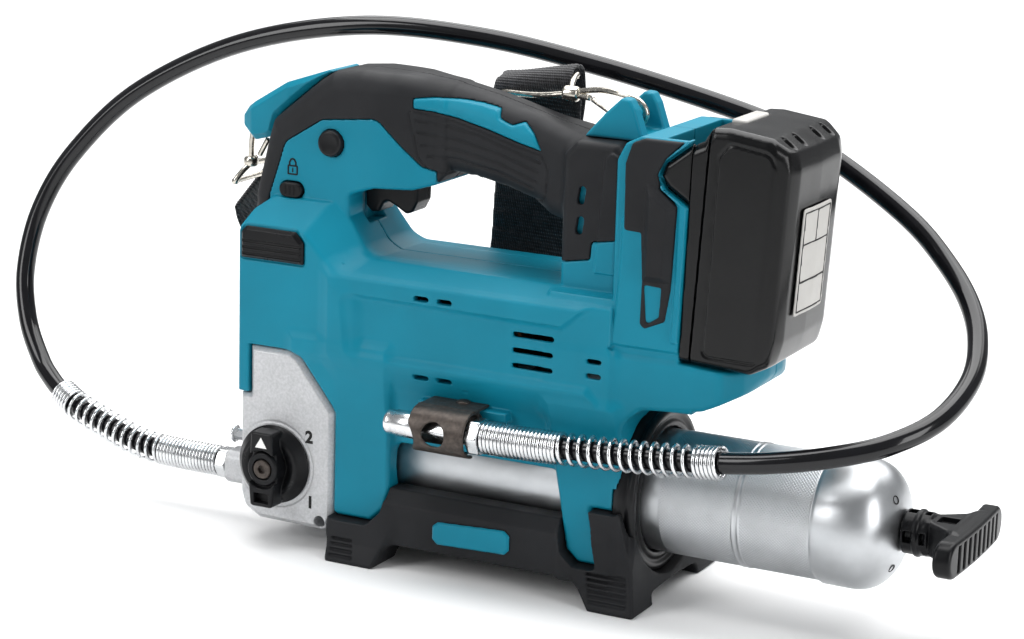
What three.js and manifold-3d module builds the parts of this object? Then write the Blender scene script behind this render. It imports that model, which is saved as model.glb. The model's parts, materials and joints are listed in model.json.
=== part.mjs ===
// Cordless grease gun, as an assembly of separate pieces. Millimetres.
// +X points to the rod handle, -Y to the selector knob's side, +Z up.
// The origin is the middle of the rear foot's sole, so Z = 0 is what the tool stands on.
import * as THREE from 'three';
import { mergeVertices } from 'three/addons/utils/BufferGeometryUtils.js';
import Module from 'manifold-3d';

const wasm = await Module();
wasm.setup();

// ---------- driving dimensions ----------
const GAP = 0.3; // clearance between touching pieces
const AXIS_Z = 50.5; // height of the barrel's centre line
const BARREL_R = 30;
const BARREL_WALL = 1.6;
const BARREL_FRONT = -170.5;
const BARREL_END = 126; // rear end of the domed cap
const ROD_R = 4.5;
const BODY_HALF = 42; // half width over the motor
const COLUMN_HALF = 40; // half width of the front column and the pump block
const HEAD_HALF = 24; // half width around the trigger
const GRIP_HALF = 18;
const REAR_HALF = 29; // half width of the column behind the hand
const MOUNT_HALF = 36; // half width of the battery mount
const SKIN = 3; // thickness of the soft overmoulding
const BATTERY_HALF = 37.5;
const BATTERY_TILT = 3; // degrees, top towards the rear
const BATTERY_HINGE = [24, 124]; // X and Z about which the battery leans
const KNOB = [-194.7, 41.6]; // X and Z of the selector's axis
const KNOB_R = 20.5;
const OUTLET = [-14, 28.5]; // Y and Z of the hose outlet
const BLEEDER = [-10, 43.5]; // Y and Z of the air bleeder
const PLUNGER_X = -196;
const CRANK_Z = 128; // height of the crank shaft
const ECCENTRIC = 5; // throw of the crank
const MOTOR_Z = 119;
const IDLER = [18.33, 111]; // Y and Z, 25 from the crank shaft and 20 from the motor shaft
const TRIGGER_PIVOT = [-160, 189];
const LOCK_OFF = [-173.4, 206]; // X and Z of the cross bolt that blocks the trigger
const LOCK_ON = [-195.9, 180.2]; // X and Z of the button that holds the trigger in
const COUPLER = [-53, 78.2]; // Y and Z of the coupler in its holder
const HOLDER_SCREW = [-88, -39.8, 0]; // the hole for the screw that holds the holder
const HOSE_R = 5.1;
const HOSE_STEPS = 44;
const FRONT_GUARD = 113; // length of the spring guard at the tool
const REAR_GUARD = 125; // length of the spring guard at the coupler
const STRAP_WIDTH = 42;
const STRAP_THICKNESS = 2;

// The hose's centre line, from the adapter, over the tool and round to the coupler.
const HOSE_ROUTE = [
  [-243.3, -14, 28.5], [-257, -14, 28.5], [-270, -14, 28.6], [-281, -14, 29], [-291, -14, 30],
  [-302, -14, 32.5], [-315, -13, 36.5], [-328, -12, 40.5], [-339, -10, 44], [-351, -6, 48.5],
  [-362, -1, 54], [-372, 4, 61.5], [-386, 12, 80], [-394, 21, 106], [-390, 30, 139],
  [-372, 38, 172], [-335, 46, 208], [-275, 52, 238], [-205, 58, 253], [-138, 65, 252],
  [-73, 72, 242], [-10, 79, 228], [27, 82, 217], [59, 81, 202], [94, 75, 182],
  [115, 67, 166], [132, 54, 151], [143, 37, 137], [148, 14, 123], [143, -14, 110],
  [127, -36, 101], [105, -49, 95], [78, -53, 89], [50, -53, 84.5], [17, -53, 81.5],
  [-20, -53, 79.4], [-50, -53, 78.4], [-69.2, -53, 78.2],
];

// The strap's middle line with the direction its width points in at each place.
const STRAP_ROUTE = [
  [[-241, 14, 174], [0, 1, 0]],
  [[-243, 26, 156], [0, 1, 0]],
  [[-241, 44, 130], [0, 1, 0]],
  [[-232, 58, 100], [0, 1, 0]],
  [[-212, 64, 72], [0, 1, 0]],
  [[-184, 65, 54], [0, 1, 0]],
  [[-155, 65, 54], [0.1, 1, 0]],
  [[-131, 65, 70], [0.4, 1, 0.1]],
  [[-114, 62, 95], [0.9, 0.8, 0.1]],
  [[-103, 55, 122], [1, 0.3, 0]],
  [[-99, 51, 150], [1, 0, 0]],
  [[-97, 48, 185], [1, 0, 0.05]],
  [[-92, 45, 215], [1, 0, 0.12]],
  [[-88, 40, 236], [1, 0, 0.2]],
  [[-87, 33.5, 243], [1, 0, 0.2]],
];

// ---------- outlines in X and Z ----------
const BLOCK_OUTLINE = [
  [-216, 24], [-213.5, 16], [-205, 11], [-168, 10.5], [-163.5, 12.5], [-161.3, 18], [-161.3, 73],
  [-163.4, 76.2], [-181.6, 98.8], [-186, 101.3], [-210.3, 101.3], [-210.3, 76.2], [-216, 76.2],
];
const FRONT_SILHOUETTE = [
  [-217, 76.8], [-210.9, 76.8], [-210.9, 101.9], [-150, 101.9], [-150, 150], [-168, 176.5],
  [-205, 176.5], [-213, 170], [-217, 160],
];
const FRONT_LEG = [
  [-185.8, 101.9], [-181.2, 99.4], [-162.9, 76.6], [-160.7, 73], [-160.7, 22], [-158.5, 20.6],
  [-139, 20.6], [-131.6, 27.6], [-129, 36], [-129, 64], [-131, 92], [-131, 110], [-185.8, 110],
];
const REAR_LEG = [
  [-44, 98], [-39, 68], [-34.5, 45], [-30.8, 25], [-24.2, 19.3], [-12.5, 19.3], [-18.4, 47.6],
  [-3.5, 47.6], [-4, 84], [-7, 98],
];
const SHELF = [
  [-46, 124], [-46, 92], [-12, 84.5], [4.5, 99], [35, 102.5], [53, 111], [58, 117], [58, 122], [24, 123.8],
];
const SHELF_PLAN = [
  [-60, -38.5], [44, -38.5], [52, -27], [58, -8], [58, 8], [52, 27], [44, 38.5], [-60, 38.5],
]; // X and Y
const MOUNT_OUTLINE = [[-46, 100], [30, 100], [30, 229], [-1, 229], [-9, 225], [-13, 217], [-13, 150], [-46, 150]];
const NOTCH = [[40, 236], [25.5, 229.5], [10.5, 218], [8.5, 211.5], [12.5, 205.5], [24, 198.6], [40, 198.6]];
const HEAD_OUTLINE = [
  [-220, 170], [-221, 175], [-214, 204], [-211, 214], [-184, 236], [-176, 241], [-160, 242.5],
  [-137, 242], [-112, 239], [-112, 196], [-118, 190], [-130, 186.3], [-150, 185.5], [-163.5, 181],
  [-163.5, 160], [-220, 160],
];
const GRIP_OUTLINE = [
  [-140, 242], [-115, 239.4], [-93, 235.2], [-60, 226.7], [-36, 221], [-36, 178], [-58, 181],
  [-67, 187], [-81, 191.6], [-98, 194.6], [-126, 197.2], [-140, 197.5],
];
const REAR_COLUMN = [[-44.5, 148], [-44.5, 215], [-38, 222], [-17, 222.3], [-13.3, 218], [-13.3, 148]];
const TRIGGER_PANEL = [
  [-209.5, 150], [-209, 176], [-200, 204], [-179, 217], [-148.5, 219.7], [-134.7, 206.7],
  [-125, 198.3], [-105, 198], [-105, 150],
];
const PAD_OUTLINE = [[-215.2, 146.3], [-215.2, 159.5], [-212.5, 162.6], [-184, 162.2], [-179.5, 157.5], [-179.5, 146.3]];
const CAP_OUTLINE = [
  [-181, 240.6], [-206, 232], [-231, 217.5], [-238.5, 213], [-239.5, 208.6], [-236.5, 204.5],
  [-227, 200], [-218, 202.5], [-214.4, 205], [-211.5, 214.4], [-184.3, 236.6], [-179, 239.8],
];
const EAR_OUTLINE = [[-39, 222.6], [-37, 225.5], [-24, 241.5], [-20, 243.2], [-16, 241.5], [-9, 229], [-8.5, 222.6]];
const TRIGGER_OUTLINE = [
  [-165, 186], [-162, 193], [-152, 194.5], [-129, 190], [-125, 186.5], [-125.4, 178], [-129.5, 171.4],
  [-134.5, 171.2], [-143, 175], [-150.5, 177], [-152.5, 175.5], [-155, 170.8], [-159.5, 170.3],
  [-162.8, 173.5], [-162.8, 179],
];
const BUMPER_OUTLINE = [
  [-8, 184], [-8, 221], [-2.5, 228.4], [22, 228.6], [8.6, 218], [6.8, 211.5], [10.8, 205.2],
  [21.8, 198.6], [21, 150], [14, 142], [4, 139.5], [3, 184],
];
const INSET_OUTLINE = [
  [-100.6, 19.5], [-100.6, 26.2], [-97.8, 28.6], [-61.3, 30.4], [-58.4, 28], [-58.4, 20.6], [-60.9, 18.2], [-97.8, 17],
];

// ---------- materials ----------
const FINISHES = {
  teal: [0x0f7f93, 0.42, 0],
  charcoal: [0x303236, 0.75, 0],
  black: [0x151618, 0.5, 0],
  rubber: [0x101012, 0.35, 0],
  castMetal: [0xa9abad, 0.5, 0.9],
  zinc: [0xb9c0c6, 0.3, 1],
  steel: [0x8f949a, 0.35, 1],
  darkSteel: [0x3a322d, 0.45, 0.8],
  copper: [0xa86a3c, 0.4, 1],
  webbing: [0x121212, 0.9, 0],
  button: [0xb8b8b4, 0.55, 0],
  brass: [0xb08a3c, 0.35, 1],
};

// ---------- solids ----------
function signedVolume(positions, index) {
  const corner = [new THREE.Vector3(), new THREE.Vector3(), new THREE.Vector3()];
  let volume = 0;
  for (let i = 0; i < index.length; i += 3) {
    corner.forEach((c, k) => c.fromArray(positions, 3 * index[i + k]));
    volume += corner[0].dot(corner[1].clone().cross(corner[2])) / 6;
  }
  return volume;
}

function solid(geometry) {
  geometry.deleteAttribute('normal');
  geometry.deleteAttribute('uv');
  const merged = mergeVertices(geometry, 1e-4);
  const vertProperties = new Float32Array(merged.attributes.position.array);
  const triVerts = new Uint32Array(merged.index.array);
  if (signedVolume(vertProperties, triVerts) < 0) {
    for (let i = 0; i < triVerts.length; i += 3) {
      [triVerts[i], triVerts[i + 1]] = [triVerts[i + 1], triVerts[i]];
    }
  }
  return new wasm.Manifold(new wasm.Mesh({ numProp: 3, vertProperties, triVerts }));
}

function geometryOf(body) {
  const mesh = body.getMesh();
  const geometry = new THREE.BufferGeometry();
  geometry.setAttribute('position', new THREE.BufferAttribute(new Float32Array(mesh.vertProperties), 3));
  geometry.setIndex(new THREE.BufferAttribute(new Uint32Array(mesh.triVerts), 1));
  geometry.computeVertexNormals();
  return geometry;
}

const union = (...bodies) => bodies.reduce((a, b) => a.add(b));
const without = (body, ...cutters) => cutters.reduce((a, b) => a.subtract(b), body);

// An outline drawn in two axes and extruded by depth along the third, with optional bevelled rims.
function extruded(points, depth, bevel) {
  const shape = new THREE.Shape(points.map(([u, v]) => new THREE.Vector2(u, v)));
  const geometry = new THREE.ExtrudeGeometry(shape, {
    depth: depth - 2 * bevel,
    steps: 1,
    bevelEnabled: bevel > 0,
    bevelThickness: bevel,
    bevelSize: bevel,
    bevelOffset: -bevel,
    bevelSegments: bevel > 4 ? 2 : 1,
  });
  return geometry.translate(0, 0, bevel);
}

// Outline in X and Z, between two values of Y.
function prismY(points, y0, y1, bevel = 0) {
  return solid(extruded(points, y1 - y0, bevel).rotateX(Math.PI / 2).translate(0, y1, 0));
}

// Outline in Y and Z, between two values of X.
function prismX(points, x0, x1, bevel = 0) {
  const turn = new THREE.Matrix4().makeBasis(
    new THREE.Vector3(0, 1, 0), new THREE.Vector3(0, 0, 1), new THREE.Vector3(1, 0, 0),
  );
  return solid(extruded(points, x1 - x0, bevel).applyMatrix4(turn).translate(x0, 0, 0));
}

// Outline in X and Y, between two values of Z.
function prismZ(points, z0, z1) {
  return solid(extruded(points, z1 - z0, 0).translate(0, 0, z0));
}

function block([x0, x1], [y0, y1], [z0, z1]) {
  const geometry = new THREE.BoxGeometry(x1 - x0, y1 - y0, z1 - z0);
  return solid(geometry.translate((x0 + x1) / 2, (y0 + y1) / 2, (z0 + z1) / 2));
}

// A block whose bottom and top rectangles differ, for the flared feet.
function tapered(bottom, top) {
  const ring = ({ x, y, z }) => [[x[0], y[0], z], [x[1], y[0], z], [x[1], y[1], z], [x[0], y[1], z]];
  const geometry = new THREE.BufferGeometry();
  geometry.setAttribute('position', new THREE.Float32BufferAttribute([...ring(bottom), ...ring(top)].flat(), 3));
  geometry.setIndex([
    0, 2, 1, 0, 3, 2, 4, 5, 6, 4, 6, 7, 0, 1, 5, 0, 5, 4, 1, 2, 6, 1, 6, 5, 2, 3, 7, 2, 7, 6, 3, 0, 4, 3, 4, 7,
  ]);
  return solid(geometry);
}

const AXES = {
  x: new THREE.Vector3(1, 0, 0),
  y: new THREE.Vector3(0, 1, 0),
  z: new THREE.Vector3(0, 0, 1),
};

// A profile of [distance along the axis, radius] turned about a line through a point.
function turned(profile, axis, at, segments = 24) {
  const points = profile.map(([along, radius]) => new THREE.Vector2(radius, along));
  const geometry = new THREE.LatheGeometry(points, segments);
  const turn = new THREE.Quaternion().setFromUnitVectors(AXES.y, AXES[axis]);
  return solid(geometry.applyQuaternion(turn).translate(...at));
}

function cylinder(axis, at, from, to, radius, segments = 24) {
  return turned([[from, 0], [from, radius], [to, radius], [to, 0]], axis, at, segments);
}

function ring(axis, at, from, to, inner, outer, segments = 24) {
  const profile = [[from, inner], [from, outer], [to, outer], [to, inner], [from, inner]];
  return turned(profile, axis, at, segments);
}

// A hexagonal prism along X, measured across its flats.
function hexagon(x0, x1, [y, z], acrossFlats) {
  const radius = acrossFlats / Math.sqrt(3);
  const corners = Array.from({ length: 6 }, (_, i) => {
    const angle = (i * Math.PI) / 3;
    return [y + radius * Math.cos(angle), z + radius * Math.sin(angle)];
  });
  return prismX(corners, x0, x1);
}

// A round section carried along a smooth line through some points.
function tube(points, radius, { inner = 0, sides = 8, steps = 12, closed = false } = {}) {
  const curve = new THREE.CatmullRomCurve3(points.map((p) => new THREE.Vector3(...p)), closed);
  const circle = (r) => Array.from({ length: sides }, (_, i) => {
    const angle = (2 * Math.PI * i) / sides;
    return new THREE.Vector2(r * Math.cos(angle), r * Math.sin(angle));
  });
  const section = new THREE.Shape(circle(radius));
  if (inner > 0) {
    section.holes.push(new THREE.Path(circle(inner).reverse()));
  }
  return solid(new THREE.ExtrudeGeometry(section, { steps, bevelEnabled: false, extrudePath: curve }));
}

// A flat band along a line whose width direction changes from station to station.
function ribbon(stations, width, thickness, steps) {
  const line = new THREE.CatmullRomCurve3(stations.map(([p]) => new THREE.Vector3(...p)));
  const across = new THREE.CatmullRomCurve3(stations.map(([, d]) => new THREE.Vector3(...d).normalize()));
  const positions = [];
  const index = [];
  for (let i = 0; i <= steps; i += 1) {
    const t = i / steps;
    const middle = line.getPoint(t);
    const side = across.getPoint(t).normalize();
    const normal = line.getTangent(t).cross(side).normalize();
    for (const [s, n] of [[-1, -1], [1, -1], [1, 1], [-1, 1]]) {
      const corner = middle.clone().addScaledVector(side, (s * width) / 2);
      corner.addScaledVector(normal, (n * thickness) / 2);
      positions.push(...corner.toArray());
    }
    if (i === steps) break;
    for (let k = 0; k < 4; k += 1) {
      const a = 4 * i + k;
      const b = 4 * i + ((k + 1) % 4);
      index.push(a, b, b + 4, a, b + 4, a + 4);
    }
  }
  const end = 4 * steps;
  index.push(0, 2, 1, 0, 3, 2, end, end + 1, end + 2, end, end + 2, end + 3);
  const geometry = new THREE.BufferGeometry();
  geometry.setAttribute('position', new THREE.Float32BufferAttribute(positions, 3));
  geometry.setIndex(index);
  return solid(geometry);
}

// An outline moved outwards by a distance, or inwards where it is negative.
function offset(points, distance) {
  const area = points.reduce((sum, [x, z], i) => {
    const [nx, nz] = points[(i + 1) % points.length];
    return sum + x * nz - nx * z;
  }, 0);
  const sign = Math.sign(area);
  return points.map(([x, z], i) => {
    const [px, pz] = points[(i + points.length - 1) % points.length];
    const [nx, nz] = points[(i + 1) % points.length];
    const before = new THREE.Vector2(x - px, z - pz).normalize();
    const after = new THREE.Vector2(nx - x, nz - z).normalize();
    const normal = new THREE.Vector2(before.y + after.y, -before.x - after.x).normalize();
    const reach = distance / Math.max(0.5, normal.dot(new THREE.Vector2(before.y, -before.x)));
    return [x + sign * reach * normal.x, z + sign * reach * normal.y];
  });
}

function oval([x, z], halfLength, halfHeight) {
  const steps = 20;
  return Array.from({ length: steps }, (_, i) => {
    const angle = (2 * Math.PI * i) / steps;
    return [x + halfLength * Math.cos(angle), z + halfHeight * Math.sin(angle)];
  });
}

const FAR = 400;
const leftHalf = (body) => body.intersect(block([-FAR, FAR], [-FAR, -GAP / 2], [-FAR, FAR]));
const rightHalf = (body) => body.intersect(block([-FAR, FAR], [GAP / 2, FAR], [-FAR, FAR]));
const barrelSpace = (radius, x0 = -FAR, x1 = FAR) => cylinder('x', [0, 0, AXIS_Z], x0, x1, radius, 32);

function mirrored(points) {
  return [...points, ...points.map(([y, z]) => [-y, z]).reverse()];
}

function leanWithBattery(body) {
  const [x, z] = BATTERY_HINGE;
  return body.translate([-x, 0, -z]).rotate([0, BATTERY_TILT, 0]).translate([x, 0, z]);
}

const assembly = new THREE.Group();

function piece(name, body, finish) {
  const [color, roughness, metalness] = FINISHES[finish];
  const material = new THREE.MeshStandardMaterial({ color, roughness, metalness });
  const mesh = new THREE.Mesh(geometryOf(body), material);
  mesh.name = name;
  assembly.add(mesh);
}

// ---------- gears ----------
// Straight trapezoid teeth of module 1 in Y and Z, with one tooth centred on the start angle.
function gear(teeth, [y, z], startAngle, x0, x1) {
  const radius = teeth / 2;
  const pitch = (2 * Math.PI) / teeth;
  const outline = [];
  for (let i = 0; i < teeth; i += 1) {
    const middle = startAngle + i * pitch;
    for (const [r, part] of [[radius - 1.25, -0.27], [radius + 0.9, -0.11], [radius + 0.9, 0.11], [radius - 1.25, 0.27]]) {
      outline.push([y + r * Math.cos(middle + part * pitch), z + r * Math.sin(middle + part * pitch)]);
    }
  }
  return prismX(outline, x0, x1);
}

const angleBetween = ([y0, z0], [y1, z1]) => Math.atan2(z1 - z0, y1 - y0);

// ---------- handle: the hand grip, the head round the trigger and the column behind the hand ----------
function handleBlank(inset) {
  const head = prismY(offset(HEAD_OUTLINE, -inset), -HEAD_HALF + inset, HEAD_HALF - inset, inset ? 0 : 5);
  const grip = prismY(offset(GRIP_OUTLINE, -inset), -GRIP_HALF + inset, GRIP_HALF - inset, inset ? 4 : 8);
  const column = prismY(offset(REAR_COLUMN, -inset), -REAR_HALF + inset, REAR_HALF - inset, inset ? 0 : 4);
  return union(head, grip, column);
}

const handleOuter = handleBlank(0);
const handleCore = handleBlank(SKIN);
const rearSeat = block([-FAR, FAR], [-FAR, FAR], [-FAR, 162]);
const panelSpace = prismY(TRIGGER_PANEL, -HEAD_HALF - 5, HEAD_HALF + 5);

// ---------- housing ----------
function housingBlank() {
  const frontSection = mirrored([[COLUMN_HALF, 70], [COLUMN_HALF, 163], [26, 176.5]]);
  const front = prismX(frontSection, -217, -150).intersect(prismY(FRONT_SILHOUETTE, -FAR, FAR));
  const leg = prismY(FRONT_LEG, -COLUMN_HALF, COLUMN_HALF, 1.2);
  const motorSection = mirrored([
    [29, 151.5], [BODY_HALF - 1, 145], [BODY_HALF, 143], [BODY_HALF, 103], [36, 92], [34, 62], [20, 62],
  ]);
  const motorHouse = prismX(motorSection, -152, -12);
  const shelf = prismY(SHELF, -BATTERY_HALF, BATTERY_HALF, 1.5).intersect(prismZ(SHELF_PLAN, 80, 130));
  const mount = prismY(MOUNT_OUTLINE, -MOUNT_HALF, MOUNT_HALF);
  const rearLegs = prismY(REAR_LEG, -COLUMN_HALF, COLUMN_HALF, 1);
  return union(front, leg, motorHouse, shelf, mount, rearLegs);
}

function housingHollows() {
  const frontRoom = union(
    block([-213.5, -158.5], [-36.5, 36.5], [101.9, 149]), block([-163, -153], [-36.5, 36.5], [101.9, 147]),
  );
  const idlerWell = block([-160.5, -148.5], [1, 35.5], [93.5, 110]);
  const motorRoom = prismX(mirrored([[26, 147.5], [38, 140], [38, 106], [26, 97], [0, 95.5]]), -154, -18);
  const barrelRoom = union(barrelSpace(BARREL_R + 0.6), barrelSpace(40.4, -7.3, FAR));
  const triggerSlot = block([-167, -120], [-8.5, 8.5], [165, 201]);
  const handRoom = prismY(offset(GRIP_OUTLINE, -SKIN - 3.5), -8.5, 8.5);
  const switchRoom = block([-166, -121], [-11, 11], [200.5, 231]);
  const columnRoom = block([-39, -18], [-20, 20], [140, 214]);
  const lockOff = cylinder('y', [LOCK_OFF[0], 0, LOCK_OFF[1]], -FAR, FAR, 7.1);
  const lockOn = prismY(oval(LOCK_ON, 6.5 + GAP, 3.8 + GAP), -FAR, -12);
  const pin = cylinder('y', [TRIGGER_PIVOT[0], 0, TRIGGER_PIVOT[1]], -15, 15, 2.3, 12);
  return [frontRoom, idlerWell, motorRoom, barrelRoom, triggerSlot, handRoom, switchRoom, columnRoom, lockOff, lockOn, pin];
}

function batteryPocket() {
  const pocket = block([5, 60], [-32.6, 32.6], [123.9, 300]);
  const beyond = block([24.3, 80], [-FAR, FAR], [123.9, 300]);
  const terminalRoom = block([-4.5, 6], [-16.5, 16.5], [133.5, 168.5]);
  const notch = prismY(NOTCH, -FAR, FAR);
  return leanWithBattery(union(pocket, beyond, terminalRoom)).add(notch);
}

function mountRails() {
  const rail = (side) => block([12, 15], side > 0 ? [30, 33.5] : [-33.5, -30], [126, 196]);
  return leanWithBattery(rail(1)).add(leanWithBattery(rail(-1)));
}

// Slots in the side walls that let the motor's cooling air in and out.
function vents() {
  const slots = [];
  for (const z of [138.3, 98.6]) {
    slots.push([-116, -107.7, z], [-103.3, -94.8, z]);
  }
  for (const z of [127.2, 119.4, 111.8]) {
    slots.push([-63, -41, z]);
  }
  for (const z of [119.6, 112.4]) {
    slots.push([-23.4, -15.6, z]);
  }
  return slots.map(([x0, x1, z]) => block([x0, x1], [-FAR, FAR], [z - 1.3, z + 1.3])
    .subtract(block([-FAR, FAR], [-31, 31], [-FAR, FAR])));
}

// Each screw: X, Z, and how far its head stands out from the middle plane on the right side.
const SCREWS = [
  [-146, 96, COLUMN_HALF],
  [-76, 91.5, 35.5],
  [22, 111, BATTERY_HALF],
];
const screwHoles = SCREWS.map(([x, z, y]) => cylinder('y', [x, 0, z], -14, y - 4, 1.8, 12)
  .add(cylinder('y', [x, 0, z], y - 4.4, FAR, 3.6, 16)));

function holderPad() {
  return block([-112, -64], [-43, -33], [83, 88]);
}

const blockSpace = prismY(offset(BLOCK_OUTLINE, GAP + 0.2), -FAR, FAR);
const handleInHousing = without(handleOuter, handleOuter.subtract(handleCore)
  .subtract(panelSpace).subtract(rearSeat));
const housing = without(
  union(without(union(housingBlank(), handleInHousing), batteryPocket()), mountRails()),
  ...housingHollows(), ...vents(), ...screwHoles, blockSpace,
);
const holderScrewHole = cylinder('z', HOLDER_SCREW, 78, 95, 1.9, 12);
piece('housing_left', without(leftHalf(housing.add(holderPad())), holderScrewHole, barrelSpace(BARREL_R + 0.6)), 'teal');
piece('housing_right', rightHalf(housing), 'teal');

// ---------- soft overmoulding ----------
const grip = without(
  handleOuter, handleBlank(SKIN - GAP), prismY(offset(TRIGGER_PANEL, GAP), -FAR, FAR),
  block([-FAR, FAR], [-FAR, FAR], [-FAR, 162.3]),
  prismX(mirrored([[COLUMN_HALF, 70], [COLUMN_HALF, 163.3], [26, 176.8]]), -217.3, -149.7),
  prismY(offset(MOUNT_OUTLINE, GAP), -FAR, FAR),
);
piece('grip_left', leftHalf(grip), 'charcoal');
piece('grip_right', rightHalf(grip), 'charcoal');
for (const [side, name] of [[-1, 'left'], [1, 'right']]) {
  const [near, far] = [MOUNT_HALF + GAP, MOUNT_HALF + 2.3];
  const span = side < 0 ? [-far, -near] : [near, far];
  piece(`bumper_${name}`, prismY(BUMPER_OUTLINE, ...span), 'charcoal');
  const pad = side < 0 ? [-COLUMN_HALF - 1.5, -COLUMN_HALF - GAP] : [COLUMN_HALF + GAP, COLUMN_HALF + 1.5];
  piece(`side_pad_${name}`, prismY(PAD_OUTLINE, ...pad), 'black');
  const inset = side < 0 ? [-44.8, -43.3] : [43.3, 44.8];
  piece(`stand_inset_${name}`, prismY(INSET_OUTLINE, ...inset), 'teal');
}

// ---------- strap lugs ----------
const capPocket = block([-236.4, -221.5], [-5, 5], [190, 213]).subtract(cylinder('y', [-228, 0, 205], -6, 6, 2.2, 12));
piece('front_lug_cap', without(prismY(CAP_OUTLINE, -16, 16, 1), capPocket), 'teal');
const ears = union(
  prismY(EAR_OUTLINE, 9, 17, 1.5), prismY(EAR_OUTLINE, -17, -9, 1.5),
  block([-38.4, -9.2], [-11, 11], [222.6, 224]), cylinder('y', [-21, 0, 232.5], -12, 12, 2.4, 12),
);
piece('rear_lug', without(ears, prismY(offset(MOUNT_OUTLINE, GAP + 0.2), -FAR, FAR)), 'teal');

// ---------- pump block and what is in it ----------
function pumpBlock() {
  const casting = prismY(BLOCK_OUTLINE, -COLUMN_HALF, COLUMN_HALF, 1.5);
  const outletBoss = cylinder('x', [0, ...OUTLET], -236.5, -210, 10);
  const bleederBoss = cylinder('x', [0, ...BLEEDER], -233.7, -210, 6.3, 20);
  return without(
    union(casting, outletBoss, bleederBoss),
    barrelSpace(BARREL_R + 0.4, -171.2, -150),
    cylinder('z', [PLUNGER_X, 0, 0], 56, 120, 4.9, 16),
    cylinder('y', [KNOB[0], 0, KNOB[1]], -FAR, 16, 7.4, 20),
    cylinder('x', [0, ...OUTLET], -FAR, -206, 4.9, 16),
    cylinder('x', [0, ...BLEEDER], -FAR, -222, 3.4, 16),
  );
}
piece('pump_block', pumpBlock(), 'castMetal');
piece('hose_adapter', union(
  hexagon(-243, -236.8, OUTLET, 15), cylinder('x', [0, ...OUTLET], -237, -216, 4.5, 16),
), 'zinc');
piece('air_bleeder', union(
  cylinder('x', [0, ...BLEEDER], -238.5, -236.3, 4.6, 16), cylinder('x', [0, ...BLEEDER], -236.5, -225, 3, 16),
), 'zinc');
const knobAt = [KNOB[0], 0, KNOB[1]];
const knobBar = prismY([
  [KNOB[0] - 7, KNOB[1] - 20.3], [KNOB[0] + 7, KNOB[1] - 20.3], [KNOB[0] + 6, KNOB[1] + 19.5], [KNOB[0] - 6, KNOB[1] + 19.5],
], -54, -44, 1);
piece('selector_knob', without(
  turned([[-46.5, 0], [-46.5, 15.5], [-43, KNOB_R], [-40.4, KNOB_R], [-40.4, 0]], 'y', knobAt, 36)
    .add(knobBar).add(cylinder('y', knobAt, -52.5, -44, 8.5)),
  cylinder('y', knobAt, -FAR, -50.5, 5.4, 20), cylinder('y', knobAt, -FAR, -30, 3, 16),
), 'black');
piece('knob_screw', without(
  turned([[-53, 0], [-53, 4], [-52, 5], [-50.8, 5], [-50.8, 2.6], [-30, 2.6], [-30, 0]], 'y', knobAt, 20),
  hexagonHole(knobAt, -FAR, -50.6, 4),
), 'steel');
piece('selector_spool', without(
  cylinder('y', knobAt, -40.1, 14, 7, 20), cylinder('y', knobAt, -FAR, -29, 3, 16),
), 'steel');

function hexagonHole([x, , z], y0, y1, acrossFlats) {
  const radius = acrossFlats / Math.sqrt(3);
  const corners = Array.from({ length: 6 }, (_, i) => [
    x + radius * Math.cos((i * Math.PI) / 3), z + radius * Math.sin((i * Math.PI) / 3),
  ]);
  return prismY(corners, y0, y1);
}

const plungerAt = [PLUNGER_X, 0, 0];
piece('plunger', turned([
  [58, 0], [58, 4.5], [109, 4.5], [109, 7], [113.6, 7], [113.6, 0],
], 'z', plungerAt, 16), 'steel');
piece('plunger_spring', ring('z', plungerAt, 101.7, 108.6, 5.2, 6.8, 16), 'zinc');

// ---------- drive: motor, gears and crank ----------
const crankAxis = [0, CRANK_Z];
const motorAxis = [0, MOTOR_Z];
const toIdler = angleBetween(crankAxis, IDLER);
const toMotor = angleBetween(IDLER, motorAxis);
piece('crank_gear', without(
  gear(40, crankAxis, toIdler, -176, -168), cylinder('x', [0, ...crankAxis], -FAR, FAR, 4.3, 16),
), 'steel');
piece('crank_shaft', union(
  cylinder('x', [0, ...crankAxis], -208, -164, 4, 16),
  cylinder('x', [0, 0, CRANK_Z - ECCENTRIC], -202, -190, 9, 24),
), 'steel');
piece('idler_gear', union(
  gear(10, IDLER, toIdler + Math.PI + Math.PI / 10, -176, -168),
  gear(30, IDLER, toMotor, -158, -151),
  cylinder('x', [0, ...IDLER], -180, -149, 2.4, 12),
), 'steel');
piece('motor_pinion', without(
  gear(10, motorAxis, toMotor + Math.PI + Math.PI / 10, -158, -151),
  cylinder('x', [0, ...motorAxis], -FAR, FAR, 2.3, 12),
), 'brass');
piece('armature', union(
  cylinder('x', [0, ...motorAxis], -158.5, -56, 2, 12), cylinder('x', [0, ...motorAxis], -134, -80, 14.5, 16),
), 'copper');
piece('motor_can', turned([
  [-142, 5], [-142, 20], [-72, 20], [-72, 15.5], [-139, 15.5], [-139, 5], [-142, 5],
], 'x', [0, ...motorAxis], 24), 'steel');
function fan() {
  const hub = ring('x', [0, ...motorAxis], -64, -58, 2.3, 6, 16);
  const disc = ring('x', [0, ...motorAxis], -64, -62.6, 5, 18, 24);
  const blades = Array.from({ length: 8 }, (_, i) => block([-63, -58], [-0.6, 0.6], [5.5, 17.5])
    .rotate([45 * i, 0, 0]).translate([0, motorAxis[0], motorAxis[1]]));
  return union(hub, disc, ...blades);
}
piece('cooling_fan', fan(), 'black');
piece('bearing_plate', without(
  prismX(mirrored([[34, 102.4], [34, 148]]), -166.5, -161.5),
  cylinder('x', [0, ...crankAxis], -FAR, FAR, 4.3, 16), cylinder('x', [0, ...IDLER], -FAR, FAR, 2.7, 12),
), 'steel');

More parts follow.
